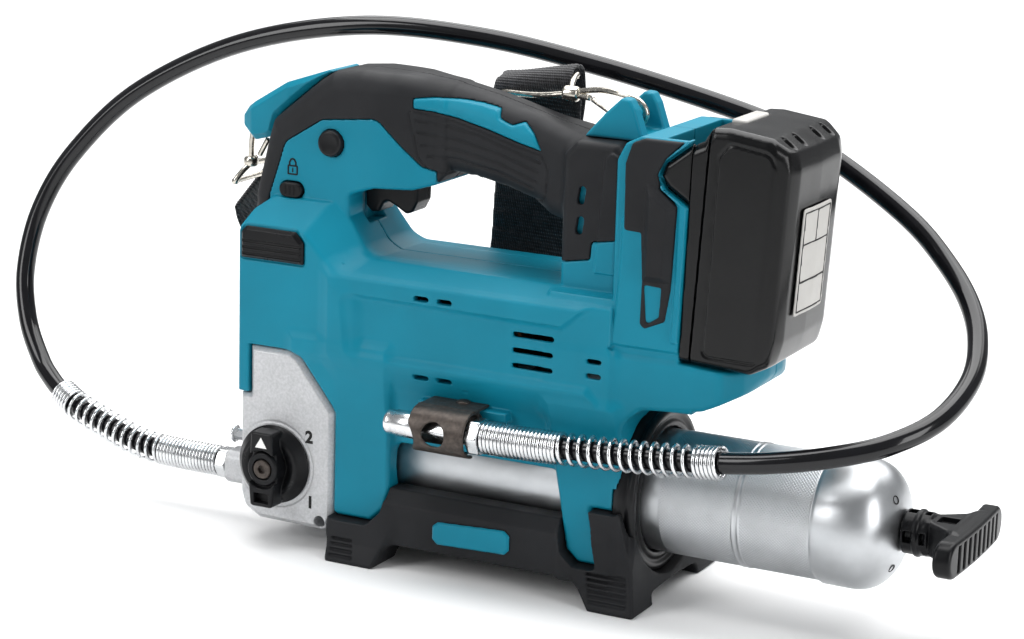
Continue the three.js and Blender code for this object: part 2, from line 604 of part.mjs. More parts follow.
// ---------- barrel, follower and rod ----------
const barrelAt = [0, 0, AXIS_Z];
const BORE_R = BARREL_R - BARREL_WALL;
function barrel() {
  const profile = [
    [BARREL_FRONT, BARREL_R], [80, BARREL_R], [84, 31.2], [107, 31.3], [112, 30.2], [116.5, 27.8],
    [120.5, 24.4], [123.6, 19.6], [125.4, 13.5], [BARREL_END, 7], [BARREL_END, 4.9], [124, 4.9], [123, 13],
    [121, 18.5], [118, 23], [113.5, 26.6], [107, BORE_R], [BARREL_FRONT, BORE_R], [BARREL_FRONT, BARREL_R],
  ];
  const airHoles = [-15.5, 15.5].map((z) => cylinder('x', [0, 0, AXIS_Z + z], 115, 130, 2.4, 12));
  return without(turned(profile, 'x', barrelAt, 32), ...airHoles);
}
piece('barrel', barrel(), 'zinc');
piece('barrel_collar', ring('x', barrelAt, -7, 4, BARREL_R + 0.6, 40, 32), 'black');
piece('follower_seal', ring('x', barrelAt, -166, -156, 6, BORE_R - GAP, 28), 'rubber');
piece('follower_plate', ring('x', barrelAt, -155.6, -152.6, ROD_R + GAP, 24, 24), 'zinc');
piece('follower_rod', cylinder('x', barrelAt, -168, 152, ROD_R, 16), 'zinc');
piece('follower_spring', ring('x', barrelAt, -152, 98, 16, 20, 16), 'steel');
function rodHandle() {
  const stem = union(cylinder('x', barrelAt, 126.6, 141, 10.8, 20), cylinder('x', barrelAt, 140, 158, 9.5, 20));
  const bar = block([150, 162], [-40, 40], [AXIS_Z - 9, AXIS_Z + 9]);
  return without(stem.add(bar), cylinder('x', barrelAt, 100, 153, ROD_R + GAP, 16));
}
piece('rod_handle', rodHandle(), 'black');

// ---------- stand ----------
function stand() {
  const half = 43;
  const beam = prismX(mirrored([[half, 12], [half, 33.5], [38, 39.6], [26, 39.6]]).reverse(), -160, -6);
  const frontFoot = tapered({ x: [-158, -131], y: [-53, 53], z: 0 }, { x: [-160.3, -124], y: [-half, half], z: 21 });
  const rearFoot = tapered({ x: [-13, 11.5], y: [-52, 52], z: 0 }, { x: [-28, 5.8], y: [-half, half], z: 21 });
  const hoop = prismY([[-31, 12], [-31, 39], [-18, 47.9], [-1.5, 47.9], [5.8, 21], [5.8, 12]], -half, half);
  return without(
    union(beam, frontFoot, rearFoot, hoop),
    barrelSpace(BARREL_R + 0.6), barrelSpace(40.4, -7.4, FAR), blockSpace,
    prismY(offset(FRONT_LEG, GAP + 0.2), -FAR, FAR),
    prismY(offset(REAR_LEG, GAP + 0.2), -FAR, FAR),
  );
}
piece('stand', stand(), 'charcoal');

// ---------- trigger, switch and buttons ----------
const triggerPinAt = [TRIGGER_PIVOT[0], 0, TRIGGER_PIVOT[1]];
piece('trigger', prismY(TRIGGER_OUTLINE, -8, 8, 1.5).subtract(cylinder('y', triggerPinAt, -FAR, FAR, 2.1, 12)), 'black');
piece('trigger_pin', cylinder('y', triggerPinAt, -14, 14, 1.8, 12), 'steel');
piece('switch_body', block([-160, -124], [-8.5, 8.5], [203, 228]), 'black');
piece('lock_off_button', turned([
  [-27, 0], [-27, 5.2], [-25.5, 6.7], [23, 6.7], [23, 0],
], 'y', [LOCK_OFF[0], 0, LOCK_OFF[1]], 24), 'black');
piece('lock_on_button', prismY(oval(LOCK_ON, 6.5, 3.8), -26, -14, 0.8), 'black');

// ---------- battery ----------
const buttonPocket = block([31.2, 42], [-15, 15], [224, 260]);
function batteryInner() {
  const wide = prismY([[24.7, 124.5], [24.7, 230], [27.5, 236], [29.9, 236.6], [29.9, 124.5]], -37.2, 37.2);
  const tongue = prismY([[5.6, 126], [5.6, 214], [12, 226], [25, 230], [25, 126]], -32.2, 32.2);
  const grooves = [-1, 1].map((side) => block([11.6, 15.4], side > 0 ? [29.6, 40] : [-40, -29.6], [100, 200]));
  const terminals = [-8, 8].map((y) => block([0, 17], [y - 1.2, y + 1.2], [100, 162]));
  return leanWithBattery(without(wide.add(tongue), ...grooves, ...terminals));
}
function batteryOuter() {
  const outline = [
    [30.2, 124.5], [57, 124.5], [66, 130], [70.5, 141], [71, 222], [66.5, 230], [57, 236], [36, 237.5], [30.2, 236.8],
  ];
  return leanWithBattery(prismY(outline, -BATTERY_HALF, BATTERY_HALF, 5).subtract(buttonPocket));
}
piece('battery_case_inner', batteryInner(), 'black');
piece('battery_case_outer', batteryOuter(), 'black');
piece('battery_button', leanWithBattery(block([31.6, 41.6], [-14.6, 14.6], [228, 239.5])), 'button');
piece('terminal_block', leanWithBattery(union(
  block([-4, 5.3], [-16, 16], [134, 168]),
  block([5, 15], [-8.4, -7.6], [138, 158]), block([5, 15], [7.6, 8.4], [138, 158]),
)), 'black');

// ---------- hose, guards and coupler ----------
const hoseCurve = new THREE.CatmullRomCurve3(HOSE_ROUTE.map((p) => new THREE.Vector3(...p)));
const hoseLength = hoseCurve.getLength();
const GUARD_STEPS = 6;
function hoseStretch(from, to, steps) {
  return Array.from({ length: steps + 1 }, (_, i) => {
    const along = from + ((to - from) * i) / steps;
    return hoseCurve.getPointAt(along / hoseLength).toArray();
  });
}
piece('hose', tube(hoseStretch(0, hoseLength, HOSE_STEPS), HOSE_R, { sides: 8, steps: HOSE_STEPS }), 'rubber');
const guardShape = { inner: 6.3, sides: 10, steps: GUARD_STEPS };
const frontStretch = hoseStretch(0, FRONT_GUARD, GUARD_STEPS);
const rearStretch = hoseStretch(hoseLength - REAR_GUARD, hoseLength, GUARD_STEPS);
piece('hose_guard_front', tube(frontStretch, 8.2, guardShape), 'zinc');
piece('hose_guard_rear', tube(rearStretch, 8.2, guardShape), 'zinc');
const couplerAt = [0, ...COUPLER];
piece('hose_end_nut', hexagon(-76, -69.5, COUPLER, 16.5), 'zinc');
piece('coupler_body', union(
  hexagon(-101, -83, COUPLER, 13), cylinder('x', couplerAt, -84, -76.3, 5.5, 16),
), 'zinc');
piece('coupler_sleeve', without(
  turned([[-122.5, 0], [-122.5, 5.8], [-120.5, 6.6], [-101.3, 6.6], [-101.3, 0]], 'x', couplerAt, 20),
  cylinder('x', couplerAt, -FAR, -108, 3.4, 12),
), 'zinc');

function hoseHolder() {
  const [y, z] = COUPLER;
  const outer = 11.6;
  const inner = 10.1;
  const arc = (radius, from, to, count) => Array.from({ length: count + 1 }, (_, i) => {
    const angle = ((from + ((to - from) * i) / count) * Math.PI) / 180;
    return [y + radius * Math.cos(angle), z + radius * Math.sin(angle)];
  });
  const section = [[-36.4, z + outer], ...arc(outer, 90, 290, 12), ...arc(inner, 290, 90, 12), [-36.4, z + inner]];
  const window = cylinder('y', [-92, 0, z], -80, -55, 6.2, 20);
  return without(
    prismX(section, -106, -75), window, cylinder('z', HOLDER_SCREW, 80, 95, 1.9, 12),
  );
}
piece('hose_holder', hoseHolder(), 'darkSteel');

// ---------- strap and its snap hooks ----------
piece('strap', ribbon(STRAP_ROUTE, STRAP_WIDTH, STRAP_THICKNESS, 28), 'webbing');
const WIRE_R = 1.5;
const wire = (points, steps) => tube(points, WIRE_R, { sides: 5, steps });
piece('front_snap_hook', union(
  wire([
    [-235, 0, 187], [-234.6, 0, 198], [-232.4, 0, 206.2], [-228, 0, 209.7], [-224.2, 0, 206], [-224, 0, 201.5],
  ], 12),
  wire([[-235, 0, 188], [-233.2, 0, 188.3], [-231.8, 0, 189]], 2),
  cylinder('z', [-235, 0, 0], 184, 189, 3, 10),
  wire([[-235, 0, 186], [-237, -5, 182], [-239, -8, 178], [-239.6, -8, 176]], 4),
  wire([[-235, 0, 186], [-237, 20, 184], [-239, 36, 180], [-239.6, 36, 176]], 4),
  wire([[-239.6, -9, 177.2], [-239.6, 37, 177.2]], 1),
), 'steel');
piece('front_hook_gate', wire([[-229.8, 0, 190.6], [-224.9, 0, 199.3]], 1), 'steel');
piece('rear_snap_hook', union(
  wire([
    [-58, 12, 238], [-44, 7, 241], [-30, 1, 241.5], [-19, 0, 239], [-14.8, 0, 233], [-18, 0, 227.6],
    [-24, 0, 227], [-30, 1.2, 229.4],
  ], 14),
  wire([[-58, 11.5, 236.6], [-48.5, 8, 236.6]], 1),
  cylinder('x', [0, 11.5, 237.2], -63, -57, 3, 10),
  wire([[-60, 11.5, 237.2], [-64, 20, 240], [-66, 27, 242.8], [-66.5, 31, 243.6]], 4),
  wire([[-60, 11.5, 237.2], [-80, 15, 234], [-104, 24, 232.6], [-109, 31, 234.2]], 4),
  wire([[-65.6, 30, 243.2], [-109.6, 30, 234.2]], 1),
), 'steel');
piece('rear_hook_gate', wire([[-46.4, 7.2, 236.2], [-32.2, 2, 230.6]], 1), 'steel');

// ---------- screws that join the two housing halves ----------
SCREWS.forEach(([x, z, y], i) => {
  const profile = [[-12, 0], [-12, 1.5], [y - 3.8, 1.5], [y - 3.8, 3.2], [y - 1.6, 3.2], [y - 1.6, 0]];
  piece(`housing_screw_${i + 1}`, turned(profile, 'y', [x, 0, z], 12), 'steel');
});

export default assembly;
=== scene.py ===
"""Looks for the cordless grease gun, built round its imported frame. Shapes are worked out in millimetres."""
import json
import math

import bmesh
import bpy
import numpy as np
from mathutils import Matrix, Vector


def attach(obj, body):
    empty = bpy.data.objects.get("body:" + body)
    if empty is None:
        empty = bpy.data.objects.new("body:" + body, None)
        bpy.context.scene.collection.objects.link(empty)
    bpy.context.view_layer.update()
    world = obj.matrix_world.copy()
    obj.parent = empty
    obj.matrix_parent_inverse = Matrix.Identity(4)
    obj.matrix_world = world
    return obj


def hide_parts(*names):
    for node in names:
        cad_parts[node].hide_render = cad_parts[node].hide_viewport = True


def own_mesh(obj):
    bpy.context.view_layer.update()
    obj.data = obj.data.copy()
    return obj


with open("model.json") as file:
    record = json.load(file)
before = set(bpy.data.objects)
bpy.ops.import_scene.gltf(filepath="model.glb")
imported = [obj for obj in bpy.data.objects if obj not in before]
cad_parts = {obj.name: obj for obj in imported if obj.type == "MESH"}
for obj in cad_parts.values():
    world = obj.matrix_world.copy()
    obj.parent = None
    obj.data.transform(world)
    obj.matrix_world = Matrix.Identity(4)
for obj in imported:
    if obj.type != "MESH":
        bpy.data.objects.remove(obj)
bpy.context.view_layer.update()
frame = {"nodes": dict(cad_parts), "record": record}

MM = 0.001
AXIS_Z = 50.5  # height of the barrel's centre line
GAP = 0.15  # half of the line between the two housing halves
SKIN_GAP = 0.35  # between the soft skin and the hard shell
COUPLER = (-53.0, 78.2)  # Y and Z of the coupler
OUTLET = (-14.0, 28.5)  # Y and Z of the hose outlet
KNOB = (-194.7, 41.6)  # X and Z of the selector
BATTERY_HINGE = (24.0, 124.0)  # X and Z about which the battery leans
BATTERY_TILT = math.radians(3)
BLEEDER = (-10, 43.5)  # Y and Z of the air bleeder
HOLDER_SCREW = (-88, -39.8)  # X and Y
HOSE_RADIUS = 5.1
STRAP_WIDTH = 42
CORNER_POINTS = 6  # points on a rounded corner of an outline
TURN_POINTS = 20  # points on one turn of a coil
WIRE_SIDES = 7
FLAT_DEGREES = 0.25  # faces closer in angle than this become one
SHARP_EDGE = (0.53, 0.6)  # pointiness where wear starts, and where it is full

# The hose's centre line, as in the CAD.
HOSE_ROUTE = [
    (-243.3, -14, 28.5), (-257, -14, 28.5), (-270, -14, 28.6), (-281, -14, 29), (-291, -14, 30),
    (-302, -14, 32.5), (-315, -13, 36.5), (-328, -12, 40.5), (-339, -10, 44), (-351, -6, 48.5),
    (-362, -1, 54), (-372, 4, 61.5), (-386, 12, 80), (-394, 21, 106), (-390, 30, 139),
    (-372, 38, 172), (-335, 46, 208), (-275, 52, 238), (-205, 58, 253), (-138, 65, 252),
    (-73, 72, 242), (-10, 79, 228), (27, 82, 217), (59, 81, 202), (94, 75, 182),
    (115, 67, 166), (132, 54, 151), (143, 37, 137), (148, 14, 123), (143, -14, 110),
    (127, -36, 101), (105, -49, 95), (78, -53, 89), (50, -53, 84.5), (17, -53, 81.5),
    (-20, -53, 79.4), (-50, -53, 78.4), (-69.2, -53, 78.2),
]


# ---------- camera, floor and light ----------
# The camera was fitted to the photograph: place, azimuth, elevation and roll in degrees, and focal length.
CAMERA_PLACE = (504.6, -1177.9, 443.8)
CAMERA_ANGLES = (26.51, 13.67, 1.68)
CAMERA_LENS = 96.33


def add_camera():
    azimuth, elevation, roll = (math.radians(a) for a in CAMERA_ANGLES)
    back = Vector((
        math.sin(azimuth) * math.cos(elevation), -math.cos(azimuth) * math.cos(elevation),
        math.sin(elevation),
    ))
    right = (-back).cross(Vector((0, 0, 1))).normalized()
    up = right.cross(-back)
    turned_right = right * math.cos(roll) + up * math.sin(roll)
    turned_up = up * math.cos(roll) - right * math.sin(roll)
    data = bpy.data.cameras.new("camera")
    data.sensor_width = 36
    data.lens = CAMERA_LENS
    data.clip_start = 0.05
    data.clip_end = 20
    camera = bpy.data.objects.new("camera", data)
    camera.matrix_world = Matrix.Translation(Vector(CAMERA_PLACE) * MM) @ Matrix(
        (turned_right, turned_up, back)).transposed().to_4x4()
    bpy.context.scene.collection.objects.link(camera)
    bpy.context.scene.camera = camera


def aim(obj, position, target):
    obj.location = position
    obj.rotation_euler = (Vector(target) - Vector(position)).to_track_quat("-Z", "Y").to_euler()


def add_light(name, position, target, size, power):
    data = bpy.data.lights.new(name, "AREA")
    data.shape = "RECTANGLE"
    data.size, data.size_y = size
    data.energy = power
    light = bpy.data.objects.new(name, data)
    aim(light, position, target)
    bpy.context.scene.collection.objects.link(light)


def add_studio():
    middle = (-0.06, 0, 0.12)
    add_light("top_light", (-0.1, 0.15, 1.35), middle, (1.6, 0.9), 27)
    add_light("key_light", (-1.0, -1.2, 0.9), middle, (0.6, 1.0), 12)
    add_light("side_light", (1.5, -0.45, 0.6), middle, (0.5, 1.1), 11)
    add_light("floor_light", (-0.3, 2.6, 2.4), (-0.3, 2.3, 0), (4.5, 2.6), 120)
    world = bpy.data.worlds.new("studio")
    world.use_nodes = True
    background = world.node_tree.nodes["Background"]
    background.inputs["Color"].default_value = (0.93, 0.95, 0.97, 1)
    background.inputs["Strength"].default_value = 0.33
    bpy.context.scene.world = world
    bpy.context.scene.view_settings.view_transform = "Standard"
    mesh = bpy.data.meshes.new("floor")
    mesh.from_pydata([(-6, -6, 0), (6, -6, 0), (6, 6, 0), (-6, 6, 0)], [], [(0, 1, 2, 3)])
    floor = bpy.data.objects.new("floor", mesh)
    bpy.context.scene.collection.objects.link(floor)
    mesh.materials.append(plain_floor())


def plain_floor():
    material = bpy.data.materials.new("pale_floor")
    material.use_nodes = True
    shader = material.node_tree.nodes["Principled BSDF"]
    shader.inputs["Base Color"].default_value = (0.86, 0.86, 0.86, 1)
    shader.inputs["Roughness"].default_value = 0.9
    return material


# ---------- materials ----------
class Finish:
    """A material whose colour, roughness and bump come from noise at stated grain sizes."""

    def __init__(self, name, colour, roughness, metallic=0.0):
        self.material = bpy.data.materials.new(name)
        self.material.use_nodes = True
        self.tree = self.material.node_tree
        self.shader = self.tree.nodes["Principled BSDF"]
        self.shader.inputs["Base Color"].default_value = (*colour, 1)
        self.shader.inputs["Roughness"].default_value = roughness
        self.shader.inputs["Metallic"].default_value = metallic
        self.shader.inputs["Specular IOR Level"].default_value = 0.5 if metallic else 0.16
        self.colour = colour
        self.place = self.tree.nodes.new("ShaderNodeTexCoord").outputs["Object"]
        self.normal = None

    def node(self, kind, **settings):
        node = self.tree.nodes.new("ShaderNode" + kind)
        for key, value in settings.items():
            setattr(node, key, value)
        return node

    def link(self, source, target):
        self.tree.links.new(source, target)

    def noise(self, grain_mm, detail=3.0, stretch=(1, 1, 1)):
        mapping = self.node("Mapping")
        mapping.inputs["Scale"].default_value = stretch
        self.link(self.place, mapping.inputs["Vector"])
        noise = self.node("TexNoise")
        noise.inputs["Scale"].default_value = 1000 / grain_mm
        noise.inputs["Detail"].default_value = detail
        self.link(mapping.outputs["Vector"], noise.inputs["Vector"])
        return noise.outputs["Fac"]

    def spread(self, value, low, high, from_low=0.3, from_high=0.7):
        spread = self.node("MapRange")
        spread.inputs["From Min"].default_value = from_low
        spread.inputs["From Max"].default_value = from_high
        spread.inputs["To Min"].default_value = low
        spread.inputs["To Max"].default_value = high
        self.link(value, spread.inputs["Value"])
        return spread.outputs["Result"]

    def mottle(self, grain_mm, lighter, darker):
        """Colour that wanders between a darker and a lighter shade."""
        ramp = self.node("ValToRGB")
        ramp.color_ramp.elements[0].position = 0.3
        ramp.color_ramp.elements[0].color = (*[c * darker for c in self.colour], 1)
        ramp.color_ramp.elements[1].position = 0.7
        ramp.color_ramp.elements[1].color = (*[min(1, c * lighter) for c in self.colour], 1)
        self.link(self.noise(grain_mm), ramp.inputs["Fac"])
        self.link(ramp.outputs["Color"], self.shader.inputs["Base Color"])
        self.tint = ramp.outputs["Color"]
        return self

    def worn_edges(self, amount):
        """Rubbed, lighter colour where the surface turns sharply outwards."""
        geometry = self.node("NewGeometry")
        mask = self.spread(geometry.outputs["Pointiness"], 0, amount, *SHARP_EDGE)
        mix = self.node("Mix", data_type="RGBA")
        mix.inputs["B"].default_value = (*[min(1, 0.25 + 1.4 * c) for c in self.colour], 1)
        self.link(mask, mix.inputs["Factor"])
        self.link(self.tint, mix.inputs["A"])
        self.link(mix.outputs["Result"], self.shader.inputs["Base Color"])
        return self

    def patchy(self, grain_mm, low, high):
        """Roughness that varies from place to place."""
        self.link(self.spread(self.noise(grain_mm), low, high), self.shader.inputs["Roughness"])
        return self

    def bump(self, height, depth_mm):
        bump = self.node("Bump")
        bump.inputs["Strength"].default_value = 1.0
        bump.inputs["Distance"].default_value = depth_mm * MM
        self.link(height, bump.inputs["Height"])
        if self.normal is not None:
            self.link(self.normal, bump.inputs["Normal"])
        self.normal = bump.outputs["Normal"]
        self.link(self.normal, self.shader.inputs["Normal"])
        return self

    def grain(self, grain_mm, depth_mm, detail=3.0, stretch=(1, 1, 1)):
        return self.bump(self.noise(grain_mm, detail, stretch), depth_mm)

    def wave(self, along, pitch_mm):
        """Ridges that repeat along a direction."""
        dot = self.node("VectorMath", operation="DOT_PRODUCT")
        dot.inputs[1].default_value = Vector(along).normalized() * (2 * math.pi / (pitch_mm * MM))
        self.link(self.place, dot.inputs[0])
        sine = self.node("Math", operation="SINE")
        self.link(dot.outputs["Value"], sine.inputs[0])
        return sine.outputs["Value"]


def webbing_finish():
    finish = Finish("woven_webbing", (0.016, 0.016, 0.018), 0.75).mottle(3, 1.7, 0.6)
    finish.shader.inputs["Sheen Weight"].default_value = 0.25
    finish.bump(finish.wave((0, 0.5, 1), 1.5), 0.16)
    finish.bump(finish.wave((1, 0.3, 0.2), 1.2), 0.12)
    return finish.grain(0.35, 0.05).material


def make_finishes():
    teal = Finish("teal_plastic", (0.003, 0.178, 0.262), 0.42).mottle(40, 1.08, 0.94).worn_edges(0.14)
    teal.patchy(25, 0.38, 0.46).grain(0.55, 0.018)
    soft = Finish("soft_overmould", (0.012, 0.0125, 0.014), 0.58).mottle(30, 1.25, 0.85).worn_edges(0.06)
    soft.patchy(20, 0.5, 0.64).grain(0.4, 0.02)
    # Black plastic, also used as painted shade on the padlock emblem.
    hard_and_shade = Finish("black_plastic", (0.005, 0.0052, 0.006), 0.32).mottle(30, 1.3, 0.8).worn_edges(0.05)
    hard_and_shade.patchy(18, 0.26, 0.38).grain(0.6, 0.008)
    case = Finish("battery_plastic", (0.0022, 0.0023, 0.0026), 0.24).mottle(30, 1.3, 0.8)
    case.patchy(18, 0.18, 0.27).grain(0.45, 0.008)
    case.shader.inputs["Specular IOR Level"].default_value = 0.25
    satin = Finish("satin_steel", (0.50, 0.515, 0.53), 0.36, 1.0).mottle(14, 1.06, 0.93)
    satin.patchy(12, 0.32, 0.42).grain(0.7, 0.006)
    button = Finish("grey_plastic", (0.46, 0.45, 0.43), 0.45).mottle(10, 1.04, 0.96).grain(0.5, 0.01)
    cast = Finish("cast_aluminium", (0.46, 0.465, 0.475), 0.5, 0.55).mottle(1.2, 1.12, 0.9)
    cast.patchy(6, 0.44, 0.58).grain(0.9, 0.03)
    zinc = Finish("bright_zinc", (0.72, 0.73, 0.74), 0.2, 1.0).mottle(8, 1.05, 0.85).patchy(6, 0.14, 0.3)
    zinc.grain(1.5, 0.006)
    steel = Finish("machined_steel", (0.45, 0.46, 0.48), 0.32, 1.0).mottle(5, 1.1, 0.85).patchy(4, 0.26, 0.4)
    steel.grain(0.4, 0.004, 3.0, (0.1, 1, 1))
    nickel = Finish("nickel_wire", (0.60, 0.565, 0.50), 0.2, 1.0).mottle(3, 1.1, 0.7).patchy(3, 0.14, 0.3)
    nickel.grain(0.8, 0.01)
    holder = Finish("dark_coating", (0.050, 0.040, 0.034), 0.42, 0.6).mottle(2, 1.5, 0.7).patchy(3, 0.34, 0.5)
    holder.grain(0.5, 0.03)
    hose = Finish("hose_rubber", (0.004, 0.004, 0.005), 0.16).mottle(12, 1.5, 0.8).patchy(30, 0.12, 0.2)
    hose.shader.inputs["Coat Weight"].default_value = 0.4
    hose.grain(2.2, 0.012)
    copper = Finish("enamelled_copper", (0.52, 0.22, 0.09), 0.35, 0.9).mottle(1, 1.2, 0.7).grain(0.5, 0.05)
    mark = Finish("white_print", (0.80, 0.80, 0.78), 0.5).mottle(2, 1.03, 0.97).grain(0.4, 0.005)
    # Black for print, also used as painted shade inside the barrel's air holes.
    ink_and_shade = Finish("black_print_and_shade", (0.012, 0.012, 0.012), 0.55).mottle(2, 1.3, 0.8).grain(0.4, 0.005)
    made = {
        "teal": teal, "soft": soft, "hard_and_shade": hard_and_shade, "case": case, "button": button, "cast": cast, "zinc": zinc,
        "steel": steel, "nickel": nickel, "holder": holder, "hose": hose, "copper": copper, "mark": mark,
        "ink_and_shade": ink_and_shade, "satin": satin,
    }
    finishes = {name: finish.material for name, finish in made.items()}
    finishes["webbing"] = webbing_finish()
    return finishes


FINISHES = make_finishes()
FINISH_OF_SLOT = {
    "teal_shell": "teal", "overmould": "soft", "black_plastic": "hard_and_shade", "button_plastic": "button",
    "cast_block": "cast", "zinc_plate": "zinc", "steel_parts": "steel", "holder_steel": "holder",
    "hose_rubber": "hose", "winding": "copper", "webbing": "webbing", "nickel_wire": "nickel",
}
SLOT_OF_NODE = {s["node"]: s["material_slot"] for s in frame["record"]["subparts"]}
BODY_OF_NODE = {
    node: body for body, nodes in frame["record"]["behaviour"]["bodies"].items() for node in nodes
}


# ---------- distances: negative inside, in millimetres ----------
def join(a, b, radius=0.0):
    """Both shapes, with a fillet where they meet."""
    if radius == 0:
        return np.minimum(a, b)
    u, v = np.maximum(radius - a, 0), np.maximum(radius - b, 0)
    return np.maximum(radius, np.minimum(a, b)) - np.sqrt(u * u + v * v)


def meet(a, b, radius=0.0):
    """What both shapes share, with its edges rounded."""
    if radius == 0:
        return np.maximum(a, b)
    u, v = np.maximum(radius + a, 0), np.maximum(radius + b, 0)
    return np.minimum(-radius, np.maximum(a, b)) + np.sqrt(u * u + v * v)


def cut(a, b, radius=0.0):
    return meet(a, -b, radius)


def rounded(points, radius=0.0):
    """An outline with its corners rounded. A point may carry its own radius as a third number."""
    outline = []
    count = len(points)
    for i, point in enumerate(points):
        corner = Vector(point[:2])
        r = point[2] if len(point) > 2 else radius
        before = Vector(points[i - 1][:2]) - corner
        after = Vector(points[(i + 1) % count][:2]) - corner
        angle = before.angle(after)
        if r == 0 or angle > math.radians(175):
            outline.append(tuple(corner))
            continue
        reach = min(r / math.tan(angle / 2), 0.48 * before.length, 0.48 * after.length)
        start = corner + before.normalized() * reach
        end = corner + after.normalized() * reach
        for k in range(CORNER_POINTS):
            t = k / (CORNER_POINTS - 1)
            outline.append(tuple(start * (1 - t) ** 2 + corner * 2 * t * (1 - t) + end * t * t))
    return outline


def outline_distance(points, u, v):
    """Distance from a closed outline in two axes."""
    u, v = np.broadcast_arrays(u, v)
    nearest = np.full(u.shape, np.inf, np.float32)
    inside = np.zeros(u.shape, bool)
    for (ax, ay), (bx, by) in zip(points, points[1:] + points[:1]):
        ex, ey = bx - ax, by - ay
        wx, wy = u - ax, v - ay
        t = np.clip((wx * ex + wy * ey) / (ex * ex + ey * ey + 1e-12), 0, 1)
        nearest = np.minimum(nearest, (wx - ex * t) ** 2 + (wy - ey * t) ** 2)
        if ay != by:
            inside ^= ((ay <= v) != (by <= v)) & (u < ax + wy * (ex / ey))
    return np.where(inside, -1, 1).astype(np.float32) * np.sqrt(nearest)


class Space:
    """A grid of points between two corners, where shapes are measured and joined, then meshed."""

    def __init__(self, low, high, step):
        self.step = step
        self.axes = [
            np.arange(a - 2 * step, b + 3 * step, step, dtype=np.float32) for a, b in zip(low, high)
        ]
        self.shape = tuple(len(a) for a in self.axes)
        x, y, z = self.axes
        self.x, self.y, self.z = x[:, None, None], y[None, :, None], z[None, None, :]

    def mirrored(self):
        """The same space with shapes repeated on both sides of the middle plane."""
        other = object.__new__(Space)
        other.__dict__.update(self.__dict__)
        other.y = np.abs(self.y)
        return other

    def leaning(self):
        """The same space in the battery's own directions."""
        other = object.__new__(Space)
        other.__dict__.update(self.__dict__)
        (x, z), angle = BATTERY_HINGE, BATTERY_TILT
        u, w = self.x - x, self.z - z
        other.x = x + u * math.cos(angle) - w * math.sin(angle)
        other.z = z + u * math.sin(angle) + w * math.cos(angle)
        return other

    def within(self, axis, low, high):
        w = getattr(self, axis)
        return np.maximum(low - w, w - high)

    def prism(self, axis, outline, low, high, rim=0.0):
        """An outline in the other two axes (X before Y before Z), between two places on an axis."""
        u, v = (getattr(self, name) for name in "xyz" if name != axis)
        return meet(outline_distance(outline, u, v), self.within(axis, low, high), rim)

    def drum(self, axis, centre, low, high, radius, rim=0.0):
        u, v = (getattr(self, name) for name in "xyz" if name != axis)
        around = np.sqrt((u - centre[0]) ** 2 + (v - centre[1]) ** 2) - radius
        return meet(around, self.within(axis, low, high), rim)

    def box(self, x, y, z, rim=0.0):
        a = meet(self.within("x", *x), self.within("z", *z), rim)
        return meet(a, self.within("y", *y), rim)

    def plane(self, normal, point):
        n = Vector(normal).normalized()
        return n.x * (self.x - point[0]) + n.y * (self.y - point[1]) + n.z * (self.z - point[2])

    def stroke(self, axis, points):
        """Distance from a bent line in the two other axes."""
        u, v = (getattr(self, name) for name in "xyz" if name != axis)
        nearest = None
        for (ax, ay), (bx, by) in zip(points, points[1:]):
            ex, ey = bx - ax, by - ay
            t = np.clip(((u - ax) * ex + (v - ay) * ey) / (ex * ex + ey * ey), 0, 1)
            d = (u - ax - ex * t) ** 2 + (v - ay - ey * t) ** 2
            nearest = d if nearest is None else np.minimum(nearest, d)
        return np.sqrt(nearest)

    def hexagon(self, axis, centre, low, high, across):
        u, v = (getattr(self, name) for name in "xyz" if name != axis)
        sides = None
        for k in range(3):
            angle = math.radians(90 + 60 * k)
            side = np.abs((u - centre[0]) * math.cos(angle) + (v - centre[1]) * math.sin(angle)) - across / 2
            sides = side if sides is None else np.maximum(sides, side)
        return meet(sides, self.within(axis, low, high))

    def ring_cut(self, axis, centre, inner, outer):
        u, v = (getattr(self, name) for name in "xyz" if name != axis)
        around = np.sqrt((u - centre[0]) ** 2 + (v - centre[1]) ** 2)
        return np.maximum(inner - around, around - outer)

    def ball(self, centre, radii):
        scaled = [(getattr(self, n) - c) / r for n, c, r in zip("xyz", centre, radii)]
        size = np.sqrt(sum(s * s for s in scaled))
        return (size - 1) * min(radii)

    def surface(self, distance):
        """Vertices and four-sided faces of the surface at distance zero."""
        d = np.ascontiguousarray(np.broadcast_to(distance, self.shape), np.float32)
        inside = d < 0
        corners, crossings = [], []
        for axis in range(3):
            near = [slice(1, -1)] * 3
            near[axis] = slice(0, -1)
            far = list(near)
            far[axis] = slice(1, None)
            index = np.argwhere(inside[tuple(near)] != inside[tuple(far)])
            u, v = (axis + 1) % 3, (axis + 2) % 3
            index[:, [u, v]] += 1
            step = np.eye(3, dtype=int)[axis]
            a = d[tuple(index.T)]
            b = d[tuple((index + step).T)]
            point = index + (a / (a - b))[:, None] * step
            quad = []
            for du, dv in ((0, 0), (1, 0), (1, 1), (0, 1)):
                cell = index.copy()
                cell[:, u] -= du
                cell[:, v] -= dv
                quad.append(np.ravel_multi_index(cell.T, self.shape))
            quad = np.stack(quad, 1)
            quad[a >= 0] = quad[a >= 0][:, ::-1]
            corners.append(quad)
            crossings.append(point)
        corners = np.concatenate(corners)
        crossings = np.repeat(np.concatenate(crossings), 4, 0)
        cells, faces = np.unique(corners.ravel(), return_inverse=True)
        count = np.bincount(faces)
        vertices = np.stack([np.bincount(faces, crossings[:, k]) / count for k in range(3)], 1)
        low = np.array([a[0] for a in self.axes])
        return low + vertices * self.step, faces.reshape(-1, 4)


